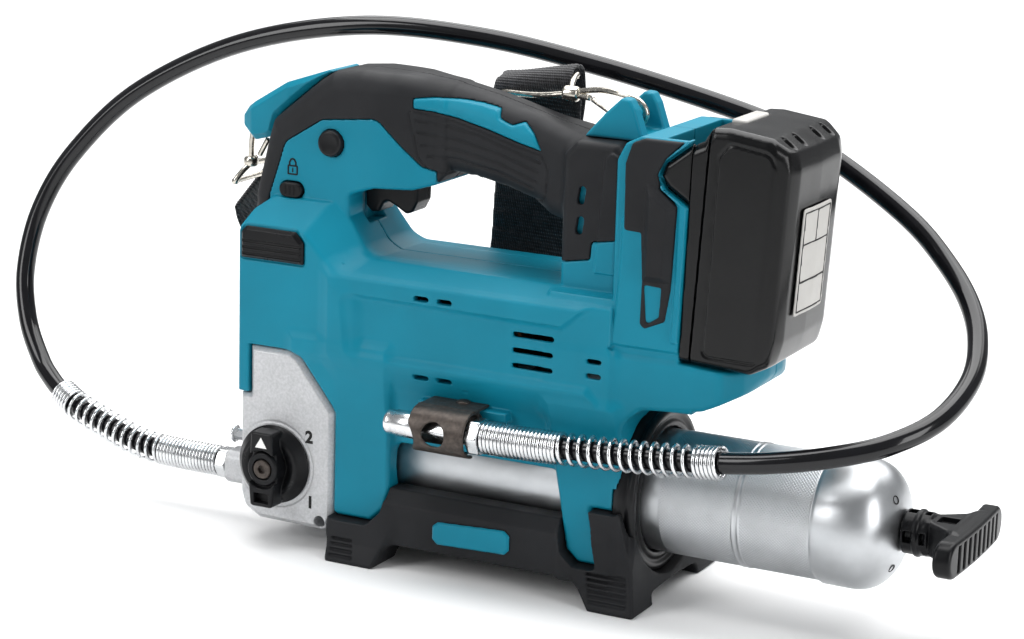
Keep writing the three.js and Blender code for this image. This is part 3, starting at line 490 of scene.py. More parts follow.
# ---------- pieces ----------
def to_mesh(name, vertices, faces):
    mesh = bpy.data.meshes.new(name)
    faces = np.asarray(faces)
    sides = faces.shape[1]
    mesh.vertices.add(len(vertices))
    mesh.vertices.foreach_set("co", (np.asarray(vertices, np.float64) * MM).ravel().astype(np.float32))
    mesh.loops.add(faces.size)
    mesh.loops.foreach_set("vertex_index", faces.ravel().astype(np.int32))
    mesh.polygons.add(len(faces))
    mesh.polygons.foreach_set("loop_start", np.arange(0, faces.size, sides, dtype=np.int32))
    mesh.update(calc_edges=True)
    mesh.validate()
    return mesh


def add_piece(name, mesh, finish, nodes=(), body=None, smooth=True):
    obj = bpy.data.objects.new(name, mesh)
    bpy.context.scene.collection.objects.link(obj)
    mesh.materials.append(FINISHES[finish])
    if smooth and isinstance(mesh, bpy.types.Mesh):
        mesh.polygons.foreach_set("use_smooth", [True] * len(mesh.polygons))
    if nodes:
        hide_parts(*nodes)
    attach(obj, body or BODY_OF_NODE[nodes[0]])
    return obj


def simplify(mesh):
    """Joins faces that lie in one plane."""
    work = bmesh.new()
    work.from_mesh(mesh)
    bmesh.ops.dissolve_limit(
        work, angle_limit=math.radians(FLAT_DEGREES), use_dissolve_boundaries=False, verts=work.verts,
        edges=work.edges,
    )
    work.to_mesh(mesh)
    work.free()


def sculpt(name, space, distance, finish, nodes=(), body=None, side=1):
    """A piece from distances. One worked out on the +Y side is mirrored where side is -1."""
    vertices, faces = space.surface(distance)
    if side < 0:
        vertices, faces = vertices * np.array((1, -1, 1)), faces[:, ::-1]
    mesh = to_mesh(name, vertices, faces)
    simplify(mesh)
    obj = add_piece(name, mesh, finish, nodes, body)
    obj.modifiers.new("flat_faces", "WEIGHTED_NORMAL")
    return obj


def smooth_line(points, spacing):
    """Points close together on a smooth line through some points."""
    points = [Vector(p) for p in points]
    points = [2 * points[0] - points[1], *points, 2 * points[-1] - points[-2]]
    line = []
    for p0, p1, p2, p3 in zip(points, points[1:], points[2:], points[3:]):
        steps = max(1, round((p2 - p1).length / spacing))
        for k in range(steps):
            t = k / steps
            line.append(0.5 * (
                2 * p1 + (p2 - p0) * t + (2 * p0 - 5 * p1 + 4 * p2 - p3) * t ** 2
                + (3 * p1 - p0 - 3 * p2 + p3) * t ** 3))
    line.append(points[-2])
    return line


def carried_frames(line, start=(0, 0, 1)):
    """At each point of a line: its direction, and two directions across it that don't twist."""
    frames = []
    side = Vector(start)
    for i, point in enumerate(line):
        along = (line[min(i + 1, len(line) - 1)] - line[max(i - 1, 0)]).normalized()
        side = (side - along * side.dot(along)).normalized()
        frames.append((point, along, side, along.cross(side)))
    return frames


def faces_between_rings(rings, count):
    """Four-sided faces that join rings of vertices, each to the next."""
    faces = []
    for i in range(rings - 1):
        for k in range(count):
            n = (k + 1) % count
            faces.append((i * count + k, i * count + n, (i + 1) * count + n, (i + 1) * count + k))
    return faces


def swept(frames, radius, sides):
    """Vertices and faces of a round tube with closed ends. The radius may be a list, one for each place."""
    radii = radius if isinstance(radius, (list, tuple)) else [radius] * len(frames)
    vertices = []
    for (point, _, a, b), r in zip(frames, radii):
        for k in range(sides):
            angle = 2 * math.pi * k / sides
            vertices.append(point + r * (math.cos(angle) * a + math.sin(angle) * b))
    faces = faces_between_rings(len(frames), sides)
    first, last = len(vertices), len(vertices) + 1
    vertices += [frames[0][0], frames[-1][0]]
    end = (len(frames) - 1) * sides
    caps = [(first, (k + 1) % sides, k) for k in range(sides)]
    caps += [(last, end + k, end + (k + 1) % sides) for k in range(sides)]
    return vertices, faces + caps


def mixed_mesh(name, vertices, faces):
    """A mesh from faces with different numbers of sides."""
    mesh = bpy.data.meshes.new(name)
    mesh.from_pydata([tuple(Vector(v) * MM) for v in vertices], [], faces)
    mesh.update()
    return mesh


def lathe(name, profile, centre, axis, segments):
    """A profile of (distance along the axis, radius) turned about a line, closed where its radius is zero."""
    vertices, faces, rings = [], [], []
    for along, radius in profile:
        if radius == 0:
            rings.append([len(vertices)])
            vertices.append(on_axis(axis, along, centre, 0, 0))
            continue
        rings.append(list(range(len(vertices), len(vertices) + segments)))
        for k in range(segments):
            angle = 2 * math.pi * k / segments
            vertices.append(on_axis(axis, along, centre, radius * math.cos(angle), radius * math.sin(angle)))
    for a, b in zip(rings, rings[1:]):
        for k in range(segments):
            n = (k + 1) % segments
            if len(a) == 1:
                faces.append((a[0], b[n], b[k]))
            elif len(b) == 1:
                faces.append((a[k], a[n], b[0]))
            else:
                faces.append((a[k], a[n], b[n], b[k]))
    mesh = mixed_mesh(name, vertices, faces)
    work = bmesh.new()
    work.from_mesh(mesh)
    bmesh.ops.remove_doubles(work, verts=work.verts, dist=1e-7)
    bmesh.ops.recalc_face_normals(work, faces=work.faces)
    work.to_mesh(mesh)
    work.free()
    return mesh


def turn(name, profile, centre, axis, segments, finish, nodes=(), body=None):
    return add_piece(name, lathe(name, profile, centre, axis, segments), finish, nodes, body)


def on_axis(axis, along, centre, u, v):
    if axis == "x":
        return (along, centre[0] + u, centre[1] + v)
    if axis == "y":
        return (centre[0] + u, along, centre[1] + v)
    return (centre[0] + u, centre[1] + v, along)


add_camera()
add_studio()


# ---------- outlines shared by several pieces, in X and Z ----------
BLOCK_OUTLINE = [
    (-216, 24, 1.5), (-213.5, 16, 5), (-205, 11, 6), (-168, 10.5, 2), (-163.5, 12.5, 2), (-161.3, 18, 2),
    (-161.3, 73, 0.6), (-163.4, 76.2, 0.6), (-181.6, 98.8, 2), (-186, 101.3, 3), (-210.3, 101.3, 0.3),
    (-210.3, 76.2, 0.3), (-216, 76.2, 0.5),
]
FRONT_SILHOUETTE = [
    (-217, 76.8, 0.5), (-210.9, 76.8, 0), (-210.9, 101.9, 0), (-150, 101.9, 0), (-150, 151.5, 0),
    (-168, 176.5, 3), (-205, 176.5, 4), (-213, 170, 4), (-217, 160, 5),
]
FRONT_LEG = [
    (-185.8, 101.9, 0), (-181.2, 99.4, 2), (-162.9, 76.6, 0), (-160.7, 73, 0), (-160.7, 22, 1),
    (-158.5, 20.6, 1), (-139, 20.6, 3), (-131.6, 27.6, 5), (-129, 36, 4), (-129, 64, 8), (-131, 92, 4),
    (-131, 110, 0), (-185.8, 110, 0),
]
REAR_LEG = [
    (-44, 98, 0), (-39, 68, 6), (-34.5, 45, 4), (-30.8, 25, 2), (-24.2, 19.3, 2), (-12.5, 19.3, 2),
    (-18.4, 47.6, 0.5), (-3.5, 47.6, 1), (-4, 84, 0), (-7, 98, 0),
]
RAISED = [
    (-166, 150), (-160, 160), (-14, 160), (-14, 151), (-36, 132.3), (-155.2, 133.7), (-152, 107),
    (-22, 107), (-16, 100), (-16, 90), (-158, 90), (-166, 104),
]
SHELF = [
    (-46, 124, 0), (-46, 92, 0), (-12, 84.5, 6), (4.5, 99, 6), (35, 102.5, 5), (53, 111, 6), (58, 117, 1.5),
    (58, 122, 0.8), (24, 123.8, 0),
]
SHELF_PLAN = [(-60, -38), (44, -38, 6), (52, -27, 8), (58, -8, 8), (58, 8, 8), (52, 27, 8), (44, 38, 6),
    (-60, 38)]
MOUNT_OUTLINE = [
    (-46, 100, 0), (30, 100, 0), (30, 229, 1), (-1, 229, 3), (-9, 225, 3), (-13, 217, 3), (-13, 150, 0),
    (-46, 150, 0),
]
NOTCH_COVER = [
    (40, 235.4, 0), (29, 230.9, 3), (25, 228.2, 2), (11.4, 217.6, 2), (9.4, 211.5, 2), (13.2, 206.2, 2),
    (23.8, 199.4, 0.5), (40, 199.4, 0),
]
NOTCH = [(40, 236), (25.5, 229.5), (10.5, 218), (8.5, 211.5), (12.5, 205.5), (24, 198.6), (40, 198.6)]
HEAD_COVER = [
    (-221, 100, 0), (-221, 175, 6), (-214, 204, 8), (-211, 214, 6), (-184, 236, 10), (-176, 241, 6),
    (-160, 242.5, 10), (-137, 242, 10), (-112, 239, 10), (-60, 226, 0), (-60, 100, 0),
]
HEAD_OUTLINE = [
    (-222, 160, 0), (-222, 245, 0), (-112, 245, 0), (-112, 196, 3), (-118, 190, 4), (-130, 186.3, 4),
    (-150, 185.5, 2), (-163.5, 181, 3), (-163.5, 160, 0),
]
GRIP_OUTLINE = [
    (-140, 242, 8), (-115, 239.4, 8), (-93, 235.2, 12), (-60, 226.7, 12), (-36, 221, 6), (-36, 178, 6),
    (-58, 181, 10), (-67, 187, 8), (-81, 191.6, 8), (-98, 194.6, 10), (-126, 197.2, 8), (-140, 197.5, 4),
]
REAR_COLUMN = [
    (-44.5, 148, 0), (-44.5, 215, 5), (-38, 222, 4), (-17, 222.3, 3), (-13.3, 218, 3), (-13.3, 148, 0),
]
TRIGGER_PANEL = [
    (-209.5, 150, 0), (-209, 176, 6), (-200, 204, 7), (-179, 217, 7), (-148.5, 220.2, 7), (-134.7, 206.7, 4),
    (-125, 198.3, 3), (-117.5, 196.6, 1), (-117.5, 150, 0),
]
PAD_OUTLINE = [
    (-215.4, 146.3, 0.8), (-215.4, 159.5, 2), (-212.5, 162.6, 2), (-184, 162.4, 2), (-179.5, 157.5, 2),
    (-179.5, 146.3, 0.8),
]
CAP_OUTLINE = [
    (-181, 240.6, 0.5), (-206, 232, 6), (-231, 217.5, 5), (-238.5, 213, 3), (-239.5, 208.6, 2),
    (-236.5, 204.5, 2), (-227, 200, 2), (-218, 202.5, 1), (-214.4, 205, 2), (-211.5, 214.4, 3),
    (-184.3, 236.6, 6), (-179, 239.8, 0.5),
]
EAR_OUTLINE = [
    (-39, 222.6, 0), (-37.4, 224.8, 1), (-28.5, 234.8, 2), (-20.5, 242.4, 2), (-16.4, 242, 2),
    (-13.6, 237.5, 2),
    (-9, 224.6, 1), (-8.5, 222.6, 0),
]
TRIGGER_OUTLINE = [
    (-165, 186, 1), (-162, 193, 1), (-152, 194.5, 1), (-137.5, 190.6, 1), (-133.2, 187, 1.5),
    (-133.6, 178, 3),
    (-136.3, 172.6, 2.5), (-139.8, 171.2, 2.5), (-146, 174.8, 4), (-150.5, 176.8, 3), (-152.9, 175.4, 1),
    (-155.4, 170.8, 1.5), (-159.5, 170.3, 1.5), (-162.9, 173.5, 1.5), (-162.8, 179, 1),
]
BUMPER_OUTLINE = [
    (-7.2, 184.5, 2), (-7.6, 216, 3), (-4.4, 226, 3), (2, 228.6, 1), (21.6, 228.6, 0.5), (12.1, 219.7, 3),
    (8.4, 212.3, 2), (10.2, 205.4, 3), (19.6, 198.4, 0.5), (18, 159, 2), (15.6, 143.4, 2), (5, 138.6, 2),
    (2.6, 141, 1), (3, 161, 1), (1.5, 184.2, 1),
]
BAR_OUTLINE = [(3.4, 208.6, 2), (10.5, 205, 2), (19, 198, 1.5), (17.6, 161.8, 1), (3.3, 161.6, 1)]
BADGE_OUTLINE = [(4.5, 159.6, 1), (12.9, 159.2, 1), (12.2, 145.4, 1.5), (6.2, 141.4, 1.5)]
INSET_OUTLINE = [
    (-100.6, 19.5), (-100.6, 26.2), (-97.8, 28.6), (-61.3, 30.4), (-58.4, 28), (-58.4, 20.6), (-60.9, 18.2),
    (-97.8, 17),
]
INLAY_OUTLINE = [
    (-130, 232, 1), (-119.7, 233.2, 4), (-106, 233.5, 6), (-95.1, 232.6, 6), (-85.6, 230.8, 0.8),
    (-84.2, 226.2, 1.2), (-77.5, 223.6, 3), (-71.4, 225.8, 1), (-65.4, 220.4, 4), (-60.7, 212.8, 0.6),
    (-72.9, 215.6, 5), (-89.3, 220.3, 6), (-105.8, 224.2, 6), (-119.6, 226.3, 4), (-129.8, 227, 1),
]
GRIP_LINES = [
    [(-128.3, 221.3), (-116.1, 220.6), (-94.1, 217), (-61.5, 207.3)],
    [(-127.1, 215.5), (-104.9, 213.4), (-83, 209.3), (-62.4, 202.6)],
    [(-125, 209.5), (-105.1, 208.4), (-83.1, 204.6), (-63.5, 198)],
    [(-121.8, 204), (-105.2, 203.9), (-83.2, 199.9), (-65.8, 194.2)],
]
GRIP_PANEL = [
    (-133, 226.5, 3), (-130.5, 218, 3), (-126.5, 203, 3), (-121.5, 197, 3), (-98, 195.6, 6), (-68, 188.4, 6),
    (-58, 189, 5), (-56, 204, 5), (-60.5, 211, 3), (-72.9, 213.4, 5), (-105.8, 222.2, 6), (-120, 224.6, 4),
]
VENTS = (
    [(x, z, 8.4) for z in (138.3, 98.6) for x in (-111.9, -99)]
    + [(-52, z, 22) for z in (127.2, 119.4, 111.8)] + [(-19.5, z, 7.8) for z in (119.6, 112.4)]
)
SCREWS = [(-146, 96, 40), (-76, 91.5, 35.5), (22, 111, 37.5)]  # X, Z and how far out, on the right side
LOCK_OFF = (-173.4, 206)
LOCK_ON = (-195.9, 180.2)
FINE = 1.2  # how much wider than stated the steps of every grid are


def chamfered(a, b, size):
    return np.maximum(np.maximum(a, b), (a + b + size) * math.sqrt(0.5))


def flat_outline(s, outline, radius=0.0):
    return outline_distance(rounded(outline, radius), s.x, s.z)


def eased(value, start, end):
    """0 before a start, 1 after an end, and a smooth step between."""
    t = np.clip((value - start) / (end - start), 0, 1)
    return t * t * (3 - 2 * t)


def handle_shape(s):
    half = 24 - 6 * eased(s.x, -152, -110)
    head = meet(flat_outline(s, HEAD_COVER), s.y - half, 11)
    head = meet(head, flat_outline(s, HEAD_OUTLINE), 2.2)
    grip = meet(flat_outline(s, GRIP_OUTLINE), s.y - 18 - 5 * eased(s.x, -66, -40), 12)
    column = s.prism("y", rounded(REAR_COLUMN), -40, 29, 4)
    rib = s.prism("y", rounded([
        (-26, 160, 0), (-22, 216, 4), (-18, 219, 3), (-14.6, 216, 2), (-14.6, 160, 0),
    ]), 0, 30.4, 1.2)
    return join(join(join(head, grip, 1.2), column, 5), rib)


def seat_under(s):
    """Where the hard shell, not the soft skin, is the handle's outside."""
    return outline_distance(rounded([
        (-240, 90), (-240, 162), (-44, 162), (-43.9, 163), (-28.4, 165.8, 1.5), (-27.7, 174.4, 1.5),
        (-10, 177.6),
        (-10, 90),
    ]), s.x, s.z)


def body_shape(s):
    """The hard teal shell's outside, without the handle."""
    leg = chamfered(flat_outline(s, FRONT_LEG), s.y - 40, 1.6)
    core = s.prism("x", rounded([
        (-30, 62), (34, 62, 1), (36.3, 88, 1), (37.2, 92, 1), (39.3, 98, 1), (39.3, 145.7, 1),
        (28.5, 151.5, 2), (-30, 151.5),
    ]), -158, -11.5, 0.8)
    raised = chamfered(flat_outline(s, RAISED, 3), s.y - 42, 2.8)
    raised = meet(raised, 20 - s.y)
    raised = meet(raised, s.plane((0, 0.489, 0.872), (0, 28.5, 151.5)), 1)
    raised = meet(raised, s.plane((0, 0.894, -0.447), (0, 42, 102)), 0.8)
    raised = meet(raised, s.z - 151.5, 0.5)
    middle = join(core, raised, 1)
    shelf = chamfered(flat_outline(s, SHELF), s.y - 37.8, 1.5)
    shelf = meet(shelf, s.prism("z", rounded(SHELF_PLAN), 50, 150), 2)
    mount = meet(flat_outline(s, MOUNT_OUTLINE), s.y - 36, 1.5)
    box = chamfered(flat_outline(s, [
        (-8.6, 190, 1), (-9.4, 160, 8), (-12, 131, 2), (-11, 128.8, 1), (22.4, 128.8, 1), (23.4, 200, 1),
        (5, 200, 1),
    ]), s.y - 38.2, 1.2)
    legs = chamfered(flat_outline(s, REAR_LEG), s.y - 40, 1.6)
    edge = s.prism("y", rounded([
        (23.9, 230, 0.5), (12.8, 220.2, 2), (9, 212.6, 2), (10.8, 206, 2), (20.4, 199.2, 2), (20, 160, 2),
        (19, 133.8, 1), (26.4, 133.8, 1), (26.6, 199.2, 0), (13.6, 206.6, 2), (11, 212.6, 2),
        (14.2, 219.4, 2),
        (25.4, 229.6, 0.4),
    ]), 30, 39.6, 0.8)
    body = join(join(body_front(s), middle, 6), leg, 5)
    body = join(join(body, shelf, 6), legs, 5)
    body = join(join(join(body, mount, 2), box, 0.6), edge)
    groove = s.stroke("y", [(-12, 127.4), (29, 126.9)]) - 0.9
    return cut(body, meet(groove, 36.8 - s.y), 0.4)


def barrel_room(s, radius, low=-400, high=400):
    return s.drum("x", (0, AXIS_Z), low, high, radius)


def battery_front(s, gap=0.0):
    """The battery's side of the flat line where it meets the tool."""
    return 22.8 + 0.0265 * (s.z - 128.6) + gap - s.x


def battery_room(s):
    lean = s.leaning()
    beyond = meet(battery_front(s, -0.3), 123.9 - lean.z)
    rooms = join(lean.box((5, 60), (-1, 32.6), (123.9, 300)), beyond)
    rooms = join(rooms, lean.box((-4.5, 6), (-1, 16.5), (133.5, 168.5)))
    return join(rooms, s.prism("y", NOTCH, -1, 80))


def rooms(s):
    """What is cut out of the housing's inside."""
    motor_room = s.prism("x", [(-1, 147.5), (26, 147.5), (37, 140), (37, 106), (26, 97), (-1, 95.5)], -154,
        -18)
    spaces = [
        s.box((-213.5, -158.5), (-1, 36), (101.9, 148.6)), s.box((-163, -153), (-1, 36), (101.9, 146.6)),
        motor_room,
        barrel_room(s, 30.8),
        barrel_room(s, 40.5, -7.3, 400), s.box((-167, -120), (-1, 8.6), (165, 201)),
        s.prism("y", [(-134, 235), (-97, 229), (-40, 214), (-40, 187), (-58, 188), (-96, 201), (-130, 204)],
            -1, 8.5),
        s.box((-166, -121), (-1, 11), (200.5, 231)), s.box((-39, -18), (-1, 20), (140, 214)),
        s.drum("y", LOCK_OFF, -1, 60, 7), s.drum("y", (-160, 189), -1, 15, 2.4),
        meet(flat_outline(s, BLOCK_OUTLINE) - 0.4, s.y - 60),
    ]
    return spaces


def vent_cuts(s):
    cuts = []
    for x, z, width in VENTS:
        slot = s.stroke("y", [(x - width / 2 + 1.2, z), (x + width / 2 - 1.2, z)]) - 1.25
        cuts.append(meet(slot, 31 - s.y))
    return cuts


def make_housing():
    s = Space((-242, GAP, 16), (70, 43, 246), 0.62 * FINE)
    handle = handle_shape(s)
    panel = flat_outline(s, TRIGGER_PANEL)
    core = join(handle + 3.4, meet(handle, panel))
    core = join(core, meet(handle, seat_under(s)))
    body = body_shape(s)
    shape = join(cut(body, battery_room(s), 0.5), core)
    rim = meet(np.abs(panel + 1.5) - 0.45, -handle - 0.5)
    shape = cut(shape, meet(rim, s.z - 100))
    lean = s.leaning()
    shape = join(shape, lean.box((12, 15), (30, 33.5), (126, 196), 0.5))
    for space in rooms(s) + vent_cuts(s):
        shape = cut(shape, space)
    pad_space = flat_outline(s, PAD_OUTLINE) - 0.9
    shape = cut(shape, meet(pad_space, 38.6 - s.y), 0.5)
    lock_on = s.stroke("y", [(LOCK_ON[0] - 2.7, LOCK_ON[1]), (LOCK_ON[0] + 2.7, LOCK_ON[1])]) - 4.2
    shape = meet(shape, GAP - s.y, 0.1)
    left = cut(shape, meet(lock_on, 12 - s.y), 0.4)
    holder_seat = s.box((-112, -64), (33, 42.6), (83, 88), 0.8)
    left = cut(join(left, holder_seat, 1), s.drum("z", (-88, 39.8), 78, 95, 2))
    left = cut(left, barrel_room(s, 30.8))
    sculpt("housing_left_shell", s, left, "teal", ["housing_left"], side=-1)
    right = shape
    for x, z, y in SCREWS:
        right = cut(right, s.drum("y", (x, z), y - 4.4, 60, 3.7), 0.5)
        right = cut(right, s.drum("y", (x, z), -1, y, 1.8))
    sculpt("housing_right_shell", s, right, "teal", ["housing_right"], side=1)


def make_grips():
    s = Space((-224, GAP, 160), (-10, 31.5, 245), 0.5 * FINE)
    handle = handle_shape(s)
    skin = meet(handle, -handle - 2.9)
    skin = cut(skin, flat_outline(s, TRIGGER_PANEL) - SKIN_GAP, 0.5)
    skin = cut(skin, flat_outline(s, MOUNT_OUTLINE) - SKIN_GAP)
    skin = cut(skin, seat_under(s) - SKIN_GAP, 0.4)
    skin = cut(skin, body_front(s) - 0.3)
    skin = cut(skin, meet(flat_outline(s, CAP_OUTLINE) - 0.2, s.y - 16.2))
    skin = cut(skin, s.drum("y", LOCK_OFF, -1, 60, 7.1))
    skin = cut(skin, meet(flat_outline(s, INLAY_OUTLINE) - 0.25, -handle - 2.9))
    lines = s.stroke("y", GRIP_LINES[0])
    for line in GRIP_LINES[1:]:
        lines = np.minimum(lines, s.stroke("y", line))
    skin = cut(skin, meet(lines - 0.65, -handle - 0.8), 0.3)
    border = np.abs(flat_outline(s, GRIP_PANEL)) - 0.45
    skin = cut(skin, meet(meet(border, -handle - 0.7), 6 - s.y), 0.25)
    for low, high in (((-33.5, 199), (-34.3, 193.6)), ((-34, 184.5), (-34.8, 179.1))):
        slot = s.stroke("y", [low, high]) - 1.75
        skin = cut(skin, meet(slot, 26 - s.y), 0.4)
    skin = meet(skin, GAP - s.y, 0.1)
    for side, name in ((-1, "left"), (1, "right")):
        sculpt(f"grip_{name}_skin", s, skin, "soft", [f"grip_{name}"], side=side)
        inlay = chamfered(flat_outline(s, INLAY_OUTLINE), handle - 0.5, 1.1)
        inlay = meet(meet(inlay, -handle - 2.6), 6 - s.y)
        sculpt(f"grip_{name}_inlay", s, inlay, "teal", [], "tool", side)


def body_front(s):
    front = meet(flat_outline(s, FRONT_SILHOUETTE), s.y - 40, 1.2)
    front = meet(front, s.plane((0, 1, 1), (0, 26, 176.3)), 1)
    return meet(front, s.plane((0.516, 0.706, 0.485), (-173, 26, 176)), 1)


def make_side_trims():
    s = Space((-217, 37, 144), (-177, 42, 165), 0.3 * FINE)
    pad = chamfered(flat_outline(s, PAD_OUTLINE), s.y - 41.5, 1.6)
    for z in (148.9, 152.1, 155.3):
        groove = meet(s.stroke("y", [(-213.6, z), (-181.4, z)]) - 0.75, 40.4 - s.y)
        pad = cut(pad, groove, 0.4)
    pad = meet(pad, 38.8 - s.y)
    b = Space((-10, 34, 137), (25, 43, 231), 0.42 * FINE)
    skin = chamfered(flat_outline(b, BUMPER_OUTLINE), b.y - 39, 0.9)
    bar = chamfered(flat_outline(b, BAR_OUTLINE), b.y - 42.4, 3.4)
    skin = join(skin, bar, 0.4)
    skin = cut(skin, meet(flat_outline(b, BADGE_OUTLINE) - 0.25, 37 - b.y), 0.3)
    skin = meet(skin, 36.25 - b.y)
    badge = chamfered(flat_outline(b, BADGE_OUTLINE), b.y - 38.1, 0.5)
    badge = meet(badge, 36.6 - b.y)
    t = Space((-102, 43, 15), (-56, 47.5, 32), 0.3 * FINE)
    inset = chamfered(flat_outline(t, INSET_OUTLINE, 0.8), t.y - 46.4, 0.9)
    inset = meet(inset, 45.1 - t.y)
    n = Space((6, 31, 196), (30, 38.5, 233), 0.4 * FINE)
    cover = meet(flat_outline(n, NOTCH_COVER), n.y - 37.2, 3.6)
    cover = meet(meet(cover, -battery_front(n, -0.25), 0.3), 33 - n.y, 0.3)
    for side, name in ((-1, "left"), (1, "right")):
        sculpt(f"side_pad_{name}_rubber", s, pad, "hard_and_shade", [f"side_pad_{name}"], side=side)
        sculpt(f"bumper_{name}_skin", b, skin, "soft", [f"bumper_{name}"], side=side)
        sculpt(f"bumper_{name}_badge", b, badge, "teal", [], "tool", side)
        sculpt(f"stand_inset_{name}_plate", t, inset, "teal", [f"stand_inset_{name}"], side=side)
        sculpt(f"notch_cover_{name}", n, cover, "case", [], "tool", side)
    # Padlock emblem, raised 0.35 mm on the teal side of the handle. It is drawn in black: painted shade
    # standing in for the darker look its teal lines get from shadow.
    e = Space((-200, 23, 186), (-191, 25, 197), 0.16 * FINE)
    body = outline_distance(rounded([(-198.6, 187.6), (-192.6, 187.6), (-192.6, 192.6), (-198.6, 192.6)],
        0.8), e.x, e.z)
    shackle = e.stroke("y", [
        (-197.4, 192.4), (-197.4, 194), (-196.6, 195.4), (-195.6, 195.8), (-194.6, 195.4), (-193.8, 194),
        (-193.8, 192.4),
    ]) - 0.42
    keyhole = e.stroke("y", [(-195.6, 189.2), (-195.6, 190.8)]) - 0.35
    emblem = join(meet(np.abs(body + 0.4) - 0.4, body), join(shackle, keyhole))
    emblem = meet(meet(emblem, e.y - 24.35), 23.7 - e.y)
    sculpt("padlock_emblem", e, emblem, "hard_and_shade", [], "tool", -1)


def make_lugs():
    s = Space((-241, -17, 190), (-176, 17, 242), 0.42 * FINE).mirrored()
    plan = s.prism("z", rounded([
        (-170, -20), (-170, 16), (-204, 16, 8), (-228, 11.5, 6), (-235, 7, 4), (-239, 0, 3), (-235, -7),
    ]), 180, 260)
    cap = chamfered(flat_outline(s, CAP_OUTLINE), plan, 2.8)
    cap = cut(cap, s.prism("y", [(-236.4, 190), (-221.5, 190), (-221.5, 213), (-236.4, 213)], -1, 5, 0.5),
        0.4)
    cap = join(cap, s.drum("y", (-228, 205), -1, 6, 2.2))
    sculpt("front_lug_cap_moulding", s, cap, "teal", ["front_lug_cap"])
    s = Space((-40, -18, 221), (-7, 18, 245), 0.36 * FINE).mirrored()
    ears = chamfered(flat_outline(s, EAR_OUTLINE), s.within("y", 9, 17), 1.0)
    lug = join(ears, s.box((-38.4, -9.2), (-1, 11), (222.6, 224.4), 0.4), 2)
    lug = join(lug, s.drum("y", (-21, 232.5), -1, 15.4, 2.4, 0.3))
    lug = cut(lug, flat_outline(s, MOUNT_OUTLINE) - 0.5)
    sculpt("rear_lug_moulding", s, lug, "teal", ["rear_lug"])


def make_pump_block():
    s = Space((-237, -41, 9), (-160, 41, 103), 0.46 * FINE)
    outline = flat_outline(s, BLOCK_OUTLINE)
    casting = chamfered(outline, np.abs(s.y) - 40, 2.6)
    bosses = join(s.drum("x", OUTLET, -236.5, -210, 10, 1), s.drum("x", BLEEDER, -233.7, -210, 6.3, 0.8), 2)
    shape = join(casting, bosses, 3)
    flats = s.box((-236.5, -224), (OUTLET[0] - 8.6, OUTLET[0] + 8.6), (OUTLET[1] - 8.6, OUTLET[1] + 8.6))
    shape = cut(shape, meet(s.within("x", -237, -224), -flats), 0.4)
    for space in (
        s.drum("x", (0, AXIS_Z), -171.2, -150, 30.5), s.drum("z", (-196, 0), 56, 120, 4.9),
        s.drum("y", KNOB, -60, 16, 7.4), s.drum("x", OUTLET, -260, -206, 4.9),
        s.drum("x", BLEEDER, -260, -222, 3.4),
    ):
        shape = cut(shape, space, 0.3)
    shape = cut(shape, s.drum("y", (-168.5, 15), -60, -31, 2.9), 0.4)
    shape = cut(shape, meet(s.ring_cut("y", KNOB, 21.4, 22.6), s.y + 39.6), 0.2)
    sculpt("pump_block_casting", s, shape, "cast", ["pump_block"])
    for text, x, z in (("2", -174.8, 58.2), ("1", -173.8, 24.2)):
        add_digit(text, x, z)


def add_digit(text, x, z):
    curve = bpy.data.curves.new("digit_" + text, "FONT")
    curve.body = text
    curve.size = 8.6 * MM
    curve.extrude = 0.12 * MM
    curve.offset = 0.34 * MM
    curve.align_x = "CENTER"
    curve.align_y = "CENTER"
    digit = bpy.data.objects.new("digit_" + text, curve)
    bpy.context.scene.collection.objects.link(digit)
    bpy.context.view_layer.update()
    mesh = bpy.data.meshes.new_from_object(digit)
    bpy.data.objects.remove(digit)
    mesh.transform(Matrix.Translation(Vector((x, -40.02, z)) * MM) @ Matrix.Rotation(math.pi / 2, 4, "X"))
    mesh.materials.clear()
    add_piece("digit_" + text, mesh, "ink_and_shade", body="tool", smooth=False)


